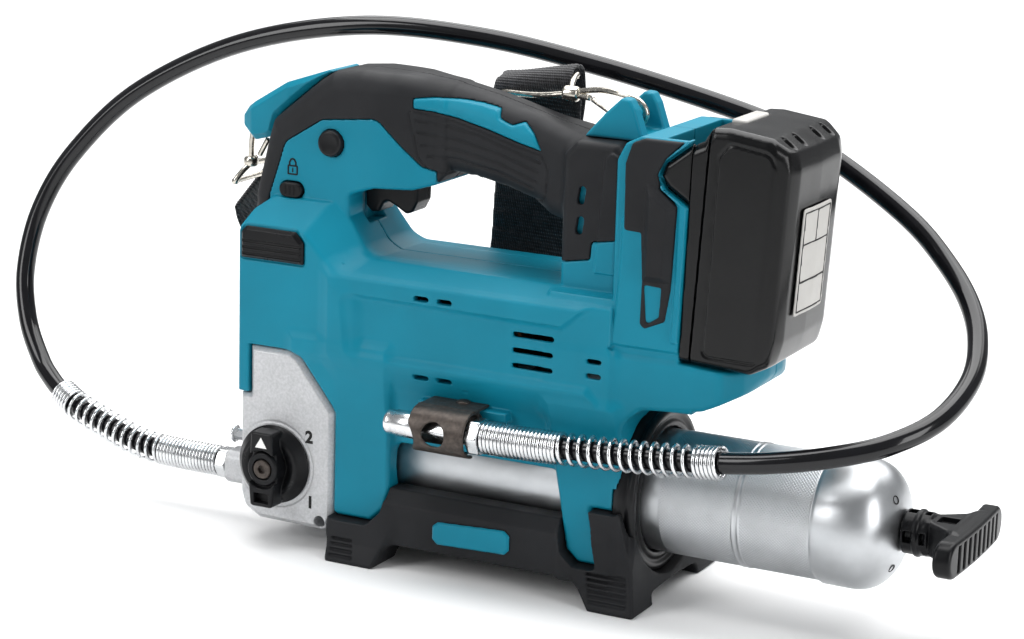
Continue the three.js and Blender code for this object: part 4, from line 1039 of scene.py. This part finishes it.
def make_knob():
    x, z = KNOB
    s = Space((x - 22, -55, z - 22), (x + 22, -39, z + 22), 0.3 * FINE)
    around = np.sqrt((s.x - x) ** 2 + (s.z - z) ** 2)
    disc = meet(meet(around - 20.5, s.within("y", -46, -40.4), 0.8), around + (-40 - s.y) * 0.9 - 21.5, 0.5)
    dish = s.ball((x, -57.5, z), (19, 16, 19))
    disc = cut(disc, dish, 0.6)
    hub = s.drum("y", (x, z), -52.5, -43, 8.6, 0.8)
    bar = s.prism("y", rounded([
        (x - 6.4, z - 19.6, 2), (x + 6.4, z - 19.6, 2), (x + 7.4, z - 9, 2), (x + 8, z, 3),
        (x + 6.6, z + 9, 2),
        (x + 6.2, z + 19.2, 1.5), (x - 6.2, z + 19.2, 1.5), (x - 6.6, z + 9, 2), (x - 8, z, 3),
        (x - 7.4, z - 9, 2),
    ]), -53.6, -43, 1.2)
    bar = cut(bar, s.drum("y", (x, z), -60, -50.2, 10), 0.6)
    shape = join(join(disc, bar, 0.8), hub, 0.6)
    tab = s.box((x - 4.2, x + 4.2), (-60, -49.5), (z - 17.5, z - 12.5), 0.4)
    shape = cut(shape, tab, 0.5)
    shape = cut(shape, s.drum("y", (x, z), -60, -50.6, 5.5), 0.4)
    shape = cut(shape, s.drum("y", (x, z), -60, -30, 3))
    sculpt("selector_knob_moulding", s, shape, "hard_and_shade", ["selector_knob"])
    arrow = [(x - 3.4, z + 11.4), (x + 3.4, z + 11.4), (x, z + 17)]
    a = Space((x - 5, -55, z + 9), (x + 5, -52, z + 19), 0.2 * FINE)
    sculpt("selector_mark", a, a.prism("y", arrow, -53.85, -53.3, 0.1), "mark", [], "selector")
    k = Space((x - 6, -54, z - 6), (x + 6, -29, z + 6), 0.22 * FINE)
    screw = join(k.drum("y", (x, z), -53, -50.7, 4.9, 0.7), k.drum("y", (x, z), -51, -30, 2.6, 0.3))
    screw = cut(screw, k.hexagon("y", (x, z), -60, -50.9, 4), 0.15)
    sculpt("knob_screw_steel", k, screw, "holder", ["knob_screw"])


def make_stand():
    s = Space((-162, -54, -0.3), (13, 54, 49), 0.55 * FINE).mirrored()
    beam = s.prism("x", rounded([(-30, 12), (45, 12, 1), (45, 33, 1.5), (39, 39.6, 1.5), (-30, 39.6)]), -160,
        -6, 1)
    front_side, rear_side = s.plane((0, 21, 9), (0, 53, 0)), s.plane((0, 21, 8), (0, 52, 0))
    front = meet(s.prism("y", rounded([
        (-158, 0, 1.5), (-131, 0, 1.5), (-124, 21, 3), (-122, 36, 2), (-160.3, 36, 1), (-160.3, 21, 2),
    ]), -60, 60), front_side, 1.2)
    rear = meet(s.prism("y", rounded([
        (-13, 0, 1.5), (11.5, 0, 1.5), (6, 21, 2), (6, 40, 1), (-28, 34, 3), (-28, 19, 6),
    ]), -60, 60), rear_side, 1.2)
    hoop = s.prism("y", rounded([
        (-31, 12), (-31, 39, 2), (-18, 47.9, 1), (-1.5, 47.9, 1.5), (5.8, 21, 1), (5.8, 12),
    ]), -60, 44.5, 1.5)
    shape = join(join(beam, front, 5), join(rear, hoop, 2), 5)
    shape = meet(shape, -s.z, 0)
    for k in range(4):
        z = 3.2 + 2.7 * k
        groove = s.stroke("y", [(-155.5, z), (-143.5 - 0.6 * k, z)]) - 0.7
        shape = cut(shape, meet(meet(groove, 30 - s.y), -front_side - 1.2), 0.4)
    for k in range(6):
        z = 4.4 + 2.5 * k
        groove = s.stroke("y", [(-12.6 - 0.7 * k, z), (6.2 - 0.5 * k, z)]) - 0.65
        shape = cut(shape, meet(meet(groove, 30 - s.y), -rear_side - 1.1), 0.4)
    shape = cut(shape, meet(flat_outline(s, INSET_OUTLINE, 0.8) - 0.4, 44.9 - s.y), 0.3)
    shape = cut(shape, s.prism("x", rounded([(-30, -10), (29, -10), (27, 6, 4), (-30, 8)]), -170, 30), 1)
    for space in (
        barrel_room(s, 30.8), barrel_room(s, 40.6, -7.4, 400), flat_outline(s, BLOCK_OUTLINE) - 0.6,
        flat_outline(s, FRONT_LEG) - 0.6, flat_outline(s, REAR_LEG) - 0.6,
    ):
        shape = cut(shape, space, 0.5)
    sculpt("stand_frame", s, shape, "soft", ["stand"])


def make_controls():
    s = Space((-167, -9, 168), (-123, 9, 197), 0.36 * FINE)
    trigger = meet(flat_outline(s, TRIGGER_OUTLINE), np.abs(s.y) - 8, 1.8)
    sculpt("trigger_blade", s, cut(trigger, s.drum("y", (-160, 189), -9, 9, 2.1)), "hard_and_shade", ["trigger"])
    x, z = LOCK_OFF
    profile = [(-26.6, 0), (-26.7, 3.6), (-27, 4.6), (-27, 5.6), (-26.3, 6.4), (-25.4, 6.7), (22.4, 6.7),
        (23, 6.1), (23, 0)]
    turn("lock_off_bolt", profile, (x, z), "y", 64, "hard_and_shade", ["lock_off_button"])
    x, z = LOCK_ON
    b = Space((x - 8, -27, z - 5), (x + 8, -13, z + 5), 0.25 * FINE)
    button = meet(b.stroke("y", [(x - 2.7, z), (x + 2.7, z)]) - 3.8, b.within("y", -26, -14), 0.8)
    for k in (-1.5, 0, 1.5):
        button = cut(button, meet(b.stroke("y", [(x + k * 1.6, z - 2), (x + k * 1.6, z + 2)]) - 0.35,
            b.y + 25.6), 0.1)
    sculpt("lock_on_button_cap", b, button, "hard_and_shade", ["lock_on_button"])


BATTERY_SIDE = [
    (10, 124.6, 0), (57, 124.6, 4), (66, 129.4, 5), (70.8, 141, 8), (71.2, 222, 8), (66.5, 230, 5),
    (57, 236, 5), (36, 237.6, 3), (29, 236.9, 2), (27.5, 236, 1), (23.8, 229.6, 1), (10, 222, 0),
]
BATTERY_PLAN = [
    (5, -37.4, 0), (60, -37.4, 4), (66.8, -33.8, 4), (70.3, -26, 6), (71.2, 0, 20), (70.3, 26, 6),
    (66.8, 33.8, 4), (60, 37.4, 4), (5, 37.4, 0),
]


def battery_case(s):
    lean = s.leaning()
    flat = outline_distance(rounded(BATTERY_SIDE), lean.x, lean.z)
    plan = outline_distance(rounded(BATTERY_PLAN), lean.x, lean.y)
    seam = lean.x - 27.9
    case = meet(meet(flat, plan, 5), battery_front(s), 0.6)
    case = cut(case, meet(np.abs(seam) - 0.4, -case - 0.9), 0.2)
    return lean, cut(case, lean.box((28.2, 36.4), (-15, 15), (222.4, 260), 0.5), 0.4), seam


def make_battery():
    s = Space((26, -38, 118), (86, 38, 242), 0.46 * FINE)
    lean, case, seam = battery_case(s)
    for y in (-24, -11, 11, 24):
        case = cut(case, lean.ball((62.2, y, 234.4), (4.6, 2.3, 4.2)), 0.4)
    side_frame = outline_distance(rounded([
        (34, 130, 4), (62, 131, 6), (64.5, 146, 6), (64.5, 218, 6), (58, 229, 6), (38, 231, 4), (33, 224, 4),
    ]), lean.x, lean.z)
    case = cut(case, meet(np.abs(side_frame) - 0.5, 36.8 - np.abs(lean.y)), 0.3)
    face = outline_distance(rounded([(-30, 140, 4), (30, 140, 4), (30, 224, 4), (-30, 224, 4)]), lean.y,
        lean.z)
    case = cut(case, meet(np.abs(face) - 0.5, 69.8 - lean.x), 0.3)
    for side in (-1, 1):
        hole = meet(np.hypot(lean.x - 68.6, lean.z - 146) - 1.6, 33 - side * lean.y)
        case = cut(case, hole, 0.2)
    sculpt("battery_outer_case", s, meet(case, -seam, 0.2), "case", ["battery_case_outer"])
    make_battery_inner(Space((2, -38, 118), (45, 38, 242), 0.5 * FINE))
    b = Space((30, -16, 224), (45, 16, 243), 0.32 * FINE)
    lean = b.leaning()
    button = lean.box((28.6, 36), (-14.6, 14.6), (226, 238.5), 1.2)
    for y in range(-12, 13, 3):
        button = cut(button, lean.box((29, 35.6), (y - 0.4, y + 0.4), (237.9, 250)), 0.2)
    sculpt("battery_release_button", b, button, "button", ["battery_button"])
    r = Space((66, -24, 146), (82, 20, 212), 0.36 * FINE)
    lean = r.leaning()
    plan = outline_distance(rounded(BATTERY_PLAN), lean.x, lean.y)
    outline = outline_distance(rounded([(-20, 152), (15, 152), (15, 203), (-20, 203)], 2), lean.y, lean.z)
    label = meet(meet(outline, plan - 0.22, 0.1), -plan - 0.6)
    sculpt("battery_label", r, label, "button", [], "battery")
    lines = lean.stroke("x", [(-18, 154), (13, 154), (13, 201), (-18, 201), (-18, 154)])
    for line in ([(-18, 168), (13, 168)], [(-18, 186), (13, 186)], [(-3, 186), (-3, 201)]):
        lines = np.minimum(lines, lean.stroke("x", line))
    lines = meet(meet(lines - 0.5, plan - 0.5), -plan)
    sculpt("battery_label_lines", r, lines, "ink_and_shade", [], "battery")


def make_battery_inner(s):
    lean, case, seam = battery_case(s)
    inner = meet(case, seam + 0.15, 0.3)
    tongue = lean.box((5.6, 27), (-32.2, 32.2), (126, 226), 1)
    tongue = meet(tongue, lean.plane((-0.78, 0, 0.62), (5.6, 0, 212)), 1)
    for side in (-1, 1):
        y = sorted((side * 29.6, side * 40))
        tongue = cut(tongue, lean.box((11.6, 15.4), y, (100, 200)))
        tongue = cut(tongue, lean.box((0, 17), (side * 8 - 1.2, side * 8 + 1.2), (100, 162)))
    sculpt("battery_inner_case", s, join(inner, tongue), "case", ["battery_case_inner"])


# ---------- turned pieces ----------
def make_barrel():
    front = [(-170.5, 28.4), (-170.5, 29.8), (-170.3, 30), (11.6, 30)]
    knurled = np.arange(12.0, 88.8, 0.3)
    profile = front + [(x, 30.0) for x in knurled] + [(89, 30.05), (89.6, 30.6), (90.2, 30.7), (91.2, 31.3),
        (105, 31.4)]
    dome = [
        (107.6, 31.2), (110, 30.75), (112.4, 29.95), (114.8, 28.75), (117, 27.2), (119, 25.3), (120.8, 23.1),
        (122.4, 20.5), (123.7, 17.6), (124.7, 14.4), (125.3, 11), (125.6, 8), (125.9, 6.4), (125.9, 4.9),
        (123.9, 4.9), (123, 13), (121, 18.5), (118, 23), (113.5, 26.6), (107, 28.4), (-170.5, 28.4),
    ]
    mesh = lathe("barrel_tube_steel", profile + dome, (0, AXIS_Z), "x", 720)
    count = len(mesh.vertices)
    points = np.empty(count * 3)
    mesh.vertices.foreach_get("co", points)
    points = points.reshape(-1, 3)
    x = points[:, 0] / MM
    y, z = points[:, 1] / MM, points[:, 2] / MM - AXIS_Z
    radius = np.hypot(y, z)
    angle = np.arctan2(y, z)
    outside = (radius > 29.9) & (x > 12) & (x < 88.8)
    edge = np.clip(np.minimum(x - 12.3, 88.5 - x) / 0.6, 0, 1) * outside
    edge *= np.where((x > 49.6) & (x < 54.4), 0, 1)
    turns, per_mm = 112, 112 / 30.0
    diamonds = np.maximum(np.cos(turns * angle + per_mm * x), np.cos(turns * angle - per_mm * x))
    grown_by = edge * 0.2 * diamonds + 0.55 * np.exp(-((x - 50.6) / 0.6) ** 2) * outside
    grown_by += 0.55 * np.exp(-((x - 53.4) / 0.6) ** 2) * outside
    scale = 1 + grown_by / np.maximum(radius, 1)
    points[:, 1] = y * scale * MM
    points[:, 2] = (z * scale + AXIS_Z) * MM
    mesh.vertices.foreach_set("co", points.ravel())
    mesh.update()
    add_piece("barrel_tube_steel", mesh, "satin", ["barrel"])
    for number, angle in enumerate((28, 152)):
        a = math.radians(angle)
        add_vent_hole(number + 1, Vector((0, -math.sin(a), math.cos(a))))


def add_vent_hole(number, outward):
    """A shallow black dish sunk into the barrel's dome where an air hole is; its black is painted shade
    standing in for the dark inside of the hole.
    """
    centre = Vector((123.2, 0, AXIS_Z)) + outward * 18.9
    normal = (Vector((0.88, 0, 0)) + outward * 0.48).normalized()
    across = outward.cross(Vector((1, 0, 0)))
    other = normal.cross(across)
    rings = [(0.05, 2.2), (0.28, 1.9), (0.1, 1.6), (-0.6, 1.4), (-0.6, 0.0)]
    vertices, count = [], 28
    for lift, size in rings:
        for k in range(count):
            angle = 2 * math.pi * k / count
            outwards = across * math.cos(angle) + other * math.sin(angle)
            vertices.append(centre + normal * lift + outwards * size)
    mesh = mixed_mesh("barrel_air_hole", vertices, faces_between_rings(len(rings), count))
    # The black here is painted shade for the hole, not print.
    add_piece(f"barrel_air_hole_{number}", mesh, "ink_and_shade", body="barrel_tube")


def ring_profile(x0, x1, inner, outer, edge=0.5):
    return [
        (x0, inner + edge), (x0, outer - edge), (x0 + edge * 0.3, outer - edge * 0.3), (x0 + edge, outer),
        (x1 - edge, outer), (x1 - edge * 0.3, outer - edge * 0.3), (x1, outer - edge), (x1, inner + edge),
        (x1 - edge, inner), (x0 + edge, inner), (x0, inner + edge),
    ]


def make_turned_pieces():
    centre = (0, AXIS_Z)
    collar = [
        (-7, 31.2), (-7, 39.2), (-6.2, 40), (-1.8, 40), (-1.2, 39.3), (0.2, 39.3), (0.8, 40), (3.0, 40),
        (4, 39.1), (4, 36.6), (3, 36), (3, 34.2), (4, 33.6), (4, 31.6), (3.2, 30.8), (-6.4, 30.8), (-7, 31.2),
    ]
    turn("barrel_collar_ring", collar, centre, "x", 128, "hard_and_shade", ["barrel_collar"])
    seal = [
        (-166, 6), (-166, 25.6), (-165, 28), (-163.4, 28.1), (-162.6, 26.6), (-159.4, 26.6), (-158.6, 28.1),
        (-157, 28), (-156, 26), (-156, 6), (-166, 6),
    ]
    turn("follower_seal_rubber", seal, centre, "x", 96, "hose", ["follower_seal"])
    plate = ring_profile(-155.6, -152.6, 4.8, 24, 0.5)
    turn("follower_plate_disc", plate, centre, "x", 96, "zinc", ["follower_plate"])
    rod = [
        (-168, 0), (-168, 3.6), (-167.2, 4.5), (96, 4.5), (96.6, 4.1), (98.4, 4.1), (99, 4.5), (151.2, 4.5),
        (152, 3.8), (152, 0),
    ]
    turn("follower_rod_steel", rod, centre, "x", 48, "zinc", ["follower_rod"])
    nipple = [
        (-238.5, 0), (-238.5, 3.2), (-238, 4.1), (-237.2, 4.6), (-236.7, 4.6), (-236.3, 4.2), (-236.3, 3),
        (-225.4, 3), (-225, 2.6), (-225, 0),
    ]
    turn("air_bleeder_valve", nipple, BLEEDER, "x", 40, "zinc", ["air_bleeder"])
    sleeve = [
        (-108, 0), (-108, 3.3), (-121.6, 3.4), (-122.5, 4), (-122.5, 5.2), (-121.9, 5.9), (-120.6, 6.1),
        (-117.6, 6.1), (-117, 6.6), (-102, 6.6), (-101.3, 6.0), (-101.3, 0),
    ]
    turn("coupler_sleeve_steel", sleeve, COUPLER, "x", 64, "zinc", ["coupler_sleeve"])
    for i, (x, z, y) in enumerate(SCREWS):
        make_housing_screw(i + 1, x, z, y)


def make_housing_screw(number, x, z, y):
    s = Space((x - 3.6, -13, z - 3.6), (x + 3.6, y - 1, z + 3.6), 0.25 * FINE)
    head = s.drum("y", (x, z), y - 3.8, y - 1.6, 3.2, 0.4)
    shank = s.drum("y", (x, z), -12, y - 3.6, 1.5, 0.2)
    angle = np.arctan2(s.x - x, s.z - z)
    star = np.sqrt((s.x - x) ** 2 + (s.z - z) ** 2) - (1.5 + 0.28 * np.cos(6 * angle))
    shape = cut(join(head, shank), meet(star, y - 2.9 - s.y), 0.1)
    sculpt(f"housing_screw_{number}_steel", s, shape, "steel", [f"housing_screw_{number}"])


def make_hose_fittings():
    a = Space((-244, OUTLET[0] - 9, OUTLET[1] - 9), (-215, OUTLET[0] + 9, OUTLET[1] + 9), 0.26 * FINE)
    bevel = a.drum("x", OUTLET, -243, -236.8, 8.4, 1.2)
    hexagon = meet(a.hexagon("x", OUTLET, -243, -236.8, 15), bevel, 0.3)
    adapter = join(hexagon, a.drum("x", OUTLET, -237, -216, 4.5, 0.4))
    sculpt("hose_adapter_steel", a, adapter, "zinc", ["hose_adapter"])
    c = Space((-102, COUPLER[0] - 10, COUPLER[1] - 10), (-68.5, COUPLER[0] + 10, COUPLER[1] + 10),
        0.26 * FINE)
    nut = meet(c.hexagon("x", COUPLER, -76, -69.5, 16.5), c.drum("x", COUPLER, -76, -69.5, 9.2, 1.2), 0.3)
    nut = cut(nut, c.drum("x", COUPLER, -80, -60, 5.4), 0.3)
    sculpt("hose_end_nut_steel", c, nut, "zinc", ["hose_end_nut"])
    body = meet(c.hexagon("x", COUPLER, -101, -83, 13), c.drum("x", COUPLER, -101, -83, 7.2, 0.8), 0.3)
    body = join(body, c.drum("x", COUPLER, -84, -76.3, 5.3, 0.4))
    sculpt("coupler_body_steel", c, body, "zinc", ["coupler_body"])


def make_holder():
    y, z = COUPLER
    s = Space((-107, -66, 65), (-74, -35.5, 92), 0.34 * FINE)
    around = np.hypot(s.y - y, s.z - z)
    band = meet(np.abs(around - 10.85) - 0.75, s.within("x", -106, -75.4), 0.6)
    band = cut(band, meet(meet(y - s.y, z - s.z - 60), s.z - z), 0.3)
    tab = s.box((-106, -75.4), (y, -36.4), (z + 10.1, z + 11.6), 0.6)
    lip = s.box((-106, -80), (y - 1, y + 4.4), (z - 11.6, z - 10.1), 0.6)
    shape = join(join(band, tab, 1), lip, 1)
    shape = cut(shape, s.drum("y", (-92, 78.2), -80, y - 3, 6.2), 0.5)
    shape = cut(shape, s.drum("z", HOLDER_SCREW, 70, 100, 2))
    shape = meet(shape, s.plane((1, -0.55, -0.55), (-74.6, y - 10.4, z - 2)), 0.5)
    shape = meet(shape, s.plane((-1, -1.2, -0.4), (-103.8, y - 9.5, z - 3)), 0.5)
    sculpt("hose_holder_clip", s, shape, "holder", ["hose_holder"])
    head = [(z + 12.6, 0), (z + 12.6, 2.4), (z + 12.2, 3.3), (z + 11.8, 3.6), (z + 11.6, 3.6),
        (z + 11.6, 1.7),
            (z + 3, 1.7), (z + 3, 0)]
    turn("holder_screw", head, HOLDER_SCREW, "z", 40, "holder", body="tool")


# ---------- wires, springs, hose and strap ----------
def helix_frames(line_frames, radius, pitches):
    """Points of a coil round a line. Each pitch is (end of its stretch, distance between turns)."""
    lengths = [0.0]
    for a, b in zip(line_frames, line_frames[1:]):
        lengths.append(lengths[-1] + (b[0] - a[0]).length)
    points, along, turn, i = [], 0.0, 0.0, 0
    for end, pitch in pitches:
        while along < end:
            while i < len(lengths) - 2 and lengths[i + 1] < along:
                i += 1
            t = (along - lengths[i]) / (lengths[i + 1] - lengths[i])
            centre = line_frames[i][0].lerp(line_frames[i + 1][0], t)
            a, b = (line_frames[i][k].lerp(line_frames[i + 1][k], t).normalized() for k in (2, 3))
            points.append(centre + radius * (math.cos(turn) * a + math.sin(turn) * b))
            turn += 2 * math.pi / TURN_POINTS
            along += pitch / TURN_POINTS
    return points


def coil(name, frames_of_line, radius, wire, pitches, finish, nodes):
    points = helix_frames(frames_of_line, radius, pitches)
    mesh = mixed_mesh(name, *swept(carried_frames(points), wire, WIRE_SIDES))
    return add_piece(name, mesh, finish, nodes)


def straight(x0, x1, y, z, spacing=1.0):
    count = max(2, round(abs(x1 - x0) / spacing))
    line = [Vector((x0 + (x1 - x0) * i / count, y, z)) for i in range(count + 1)]
    return carried_frames(line, (0, 0, 1))


def make_hose():
    line = smooth_line(HOSE_ROUTE, 3)
    curve = bpy.data.curves.new("hose_line", "CURVE")
    curve.dimensions = "3D"
    curve.bevel_depth = HOSE_RADIUS * MM
    curve.bevel_resolution = 8
    curve.use_fill_caps = True
    spline = curve.splines.new("POLY")
    spline.points.add(len(line) - 1)
    for point, place in zip(spline.points, line):
        point.co = (*(place * MM), 1)
    spline.use_smooth = True
    hose = add_piece("hose_line", curve, "hose", ["hose"], smooth=False)
    frames_of_line = carried_frames(line, (0, 1, 0))
    front = [(37, 2.02), (98, 5.2), (111, 2.05)]
    coil("hose_guard_front_coil", frames_of_line, 7.2, 0.95, front, "zinc", ["hose_guard_front"])
    back = carried_frames(line[::-1], (0, 1, 0))
    rear = [(41, 2.02), (111, 5.35), (123, 2.05)]
    coil("hose_guard_rear_coil", back, 7.2, 0.95, rear, "zinc", ["hose_guard_rear"])
    length = sum((b - a).length for a, b in zip(line, line[1:])) * MM
    return hose, length


def make_springs():
    frames_of_line = straight(-151.6, 97.6, 0, AXIS_Z, 2)
    pitches = [(3.6, 1.75), (245, 9.2), (249, 1.75)]
    spring = coil("follower_spring_coil", frames_of_line, 18.0, 0.85, pitches, "steel", ["follower_spring"])
    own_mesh(spring)
    line = [Vector((-196, 0, 102.2 + 0.5 * i)) for i in range(13)]
    coil("plunger_spring_coil", carried_frames(line, (1, 0, 0)), 6.0, 0.45, [(6, 1.5)], "steel",
        ["plunger_spring"])


def joined_wires(name, wires, radius, finish, nodes, extra=()):
    vertices, faces = [], []
    for points in wires:
        more, their_faces = swept(carried_frames(smooth_line(points, 0.7), (0.2, 0.5, 1)), radius, 14)
        faces += [tuple(i + len(vertices) for i in face) for face in their_faces]
        vertices += more
    for more, their_faces in extra:
        faces += [tuple(i + len(vertices) for i in face) for face in their_faces]
        vertices += more
    return add_piece(name, mixed_mesh(name, vertices, faces), finish, nodes)


def swivel(axis, low, high, centre):
    profile = [
        (low, 1.6), (low + 0.4, 3), (low + 1, 3.6), (low + 2, 3.8), (high - 2, 3.8), (high - 1, 3.6),
        (high - 0.4, 3),
        (high, 1.6),
    ]
    start, end = on_axis(axis, low, centre, 0, 0), on_axis(axis, high, centre, 0, 0)
    line = [Vector(start).lerp(Vector(end), (a - low) / (high - low)) for a, _ in profile]
    side = (0, 0, 1) if axis == "x" else (1, 0, 0)
    return swept(carried_frames(line, side), [r for _, r in profile], 24)


def make_hooks():
    joined_wires("front_snap_hook_wire", [
        [(-235, 0, 187), (-234.6, 0, 198), (-232.4, 0, 206.2), (-228, 0, 209.7), (-224.2, 0, 206),
            (-224, 0, 201.5)],
        [(-235, 0, 188), (-233.2, 0, 188.3), (-231.8, 0, 189)],
        [(-235, 0, 186), (-237, -5, 182), (-239, -8, 178), (-239.6, -8, 176)],
        [(-235, 0, 186), (-237, 20, 184), (-239, 36, 180), (-239.6, 36, 176)],
        [(-239.6, -9, 177.2), (-239.6, 37, 177.2)],
    ], 1.5, "nickel", ["front_snap_hook"], [swivel("z", 184, 189.4, (-235, 0))])
    gate = [[(-229.8, 0, 190.6), (-224.9, 0, 199.3)]]
    joined_wires("front_hook_gate_wire", gate, 1.4, "nickel", ["front_hook_gate"])
    joined_wires("rear_snap_hook_wire", [
        [(-58, 12, 238), (-44, 7, 241), (-30, 1, 241.5), (-19, 0, 239), (-14.8, 0, 233), (-18, 0, 227.6),
         (-24, 0, 227), (-30, 1.2, 229.4)],
        [(-58, 11.5, 236.6), (-48.5, 8, 236.6)],
        [(-60, 11.5, 237.2), (-64, 20, 240), (-66, 27, 242.8), (-66.5, 31, 243.6)],
        [(-60, 11.5, 237.2), (-80, 15, 234), (-104, 24, 232.6), (-109, 31, 234.2)],
        [(-65.6, 30, 243.2), (-109.6, 30, 234.2)],
    ], 1.5, "nickel", ["rear_snap_hook"], [swivel("x", -64.4, -55.6, (11.5, 237.2))])
    gate = [[(-46.4, 7.2, 236.2), (-32.2, 2, 230.6)]]
    joined_wires("rear_hook_gate_wire", gate, 1.4, "nickel", ["rear_hook_gate"])


STRAP_ROUTE = [
    ((-241, 14, 174), (0, 1, 0)), ((-243, 26, 156), (0, 1, 0)), ((-241, 44, 130), (0, 1, 0)),
    ((-232, 58, 100), (0, 1, 0)), ((-212, 64, 72), (0, 1, 0)), ((-184, 65, 54), (0, 1, 0)),
    ((-155, 65, 54), (0.1, 1, 0)), ((-131, 65, 70), (0.4, 1, 0.1)), ((-114, 62, 95), (0.9, 0.8, 0.1)),
    ((-103, 55, 122), (1, 0.3, 0)), ((-99, 51, 150), (1, 0, 0)), ((-97, 48, 185), (1, 0, 0.05)),
    ((-92, 46, 212), (1, 0, 0.12)), ((-89, 43.5, 230), (1, 0, 0.2)), ((-88, 38.5, 241.5), (1, 0, 0.2)),
    ((-87.4, 31.5, 243.6), (1, 0, 0.2)), ((-87.2, 25.5, 240.4), (1, 0, 0.2)), ((-87.2, 25, 235), (1, 0, 0.2)),
    ((-87.6, 30, 232.6), (1, 0, 0.2)), ((-88.6, 36, 229), (1, 0, 0.2)), ((-90.6, 41.4, 216), (1, 0, 0.12)),
    ((-91.4, 43, 206), (1, 0, 0.12)),
]


def make_strap():
    """A flat woven ribbon, thinner at its edges, with ribs along it and a weave that rises and falls along
    its length.
    """
    line = smooth_line([p for p, _ in STRAP_ROUTE], 1.6)
    widths = smooth_line([w for _, w in STRAP_ROUTE], 0.05)
    across = STRAP_WIDTH  # ribs, one for each millimetre
    vertices, section = [], []
    for k in range(across + 1):
        u = -1 + 2 * k / across
        edge = min(1, (1 - abs(u)) * 8) ** 0.5
        section.append((u * STRAP_WIDTH / 2, (0.85 + 0.12 * math.cos(k * math.pi)) * max(edge, 0.25)))
    ring = section + [(u, -t) for u, t in reversed(section)]
    for i, point in enumerate(line):
        w = widths[round(i / (len(line) - 1) * (len(widths) - 1))]
        along = (line[min(i + 1, len(line) - 1)] - line[max(i - 1, 0)]).normalized()
        w = (w - along * w.dot(along)).normalized()
        thick = along.cross(w)
        weave = 0.07 * math.cos(i * math.pi)
        vertices += [point + w * u + thick * (t + math.copysign(weave, t)) for u, t in ring]
    n = len(ring)
    faces = faces_between_rings(len(line), n)
    faces.append(tuple(range(n))[::-1])
    faces.append(tuple(range((len(line) - 1) * n, len(line) * n)))
    strap = add_piece("strap_webbing", mixed_mesh("strap_webbing", vertices, faces), "webbing", ["strap"])


def make_rod_handle():
    s = Space((125, -41, AXIS_Z - 12), (163, 41, AXIS_Z + 12), 0.4 * FINE)
    z = s.z - AXIS_Z
    radial = np.hypot(s.y, z)
    neck = s.drum("x", (0, AXIS_Z), 126.3, 139.5, 10.6, 1)
    ring = s.drum("x", (0, AXIS_Z), 132.2, 134.6, 11.4, 0.6)
    neck = join(neck, ring, 0.5)
    for angle in (0, math.pi / 2):
        a, b = math.cos(angle), math.sin(angle)
        slot = meet(np.abs(s.y * a + z * b) - 2.8, 6.6 - radial)
        neck = cut(neck, meet(slot, s.within("x", 127.6, 131.4)), 0.5)
        neck = cut(neck, meet(slot, s.within("x", 135.8, 138.4)), 0.5)
    stem = meet(np.abs(s.y) - 8.6 - 0.75 * np.maximum(s.x - 140, 0), np.abs(z) - 8.4, 2.2)
    stem = meet(stem, s.within("x", 137, 156), 0.6)
    bend = 0.0009 * s.y ** 2
    bar = np.hypot(np.maximum(np.abs(s.y) - 31.5, 0), z) - 8.8
    bar = meet(bar, np.abs(s.x - 157.4 + bend) - 4.4, 2)
    for k in range(-4, 5):
        slot = meet(np.abs(s.y - 7 * k) - 1.5, np.abs(z) - 6.4, 0.5)
        bar = cut(bar, meet(slot, 158.8 - s.x - bend), 0.5)
    stem_slot = meet(meet(np.abs(s.y) - 4.5, 5.6 - np.abs(z)), s.within("x", 142, 151), 0.5)
    shape = join(join(bar, cut(stem, stem_slot, 0.4), 3), neck, 1)
    shape = cut(shape, s.drum("x", (0, AXIS_Z), 100, 153, 4.8))
    sculpt("rod_handle_moulding", s, shape, "hard_and_shade", ["rod_handle"])


def finish_cad_nodes():
    """Gives every CAD node its own procedural material, whether or not a piece stands for it."""
    for name, obj in frame["nodes"].items():
        finish = "copper" if name == "armature" else FINISH_OF_SLOT[SLOT_OF_NODE[name]]
        obj.data.materials.clear()
        obj.data.materials.append(FINISHES[finish])


hose_piece, hose_length = make_hose()
make_housing()
make_grips()
make_side_trims()
make_lugs()
make_pump_block()
make_knob()
make_stand()
make_controls()
make_battery()
make_barrel()
make_turned_pieces()
make_hose_fittings()
make_holder()
make_springs()
make_hooks()
make_strap()
make_rod_handle()
finish_cad_nodes()
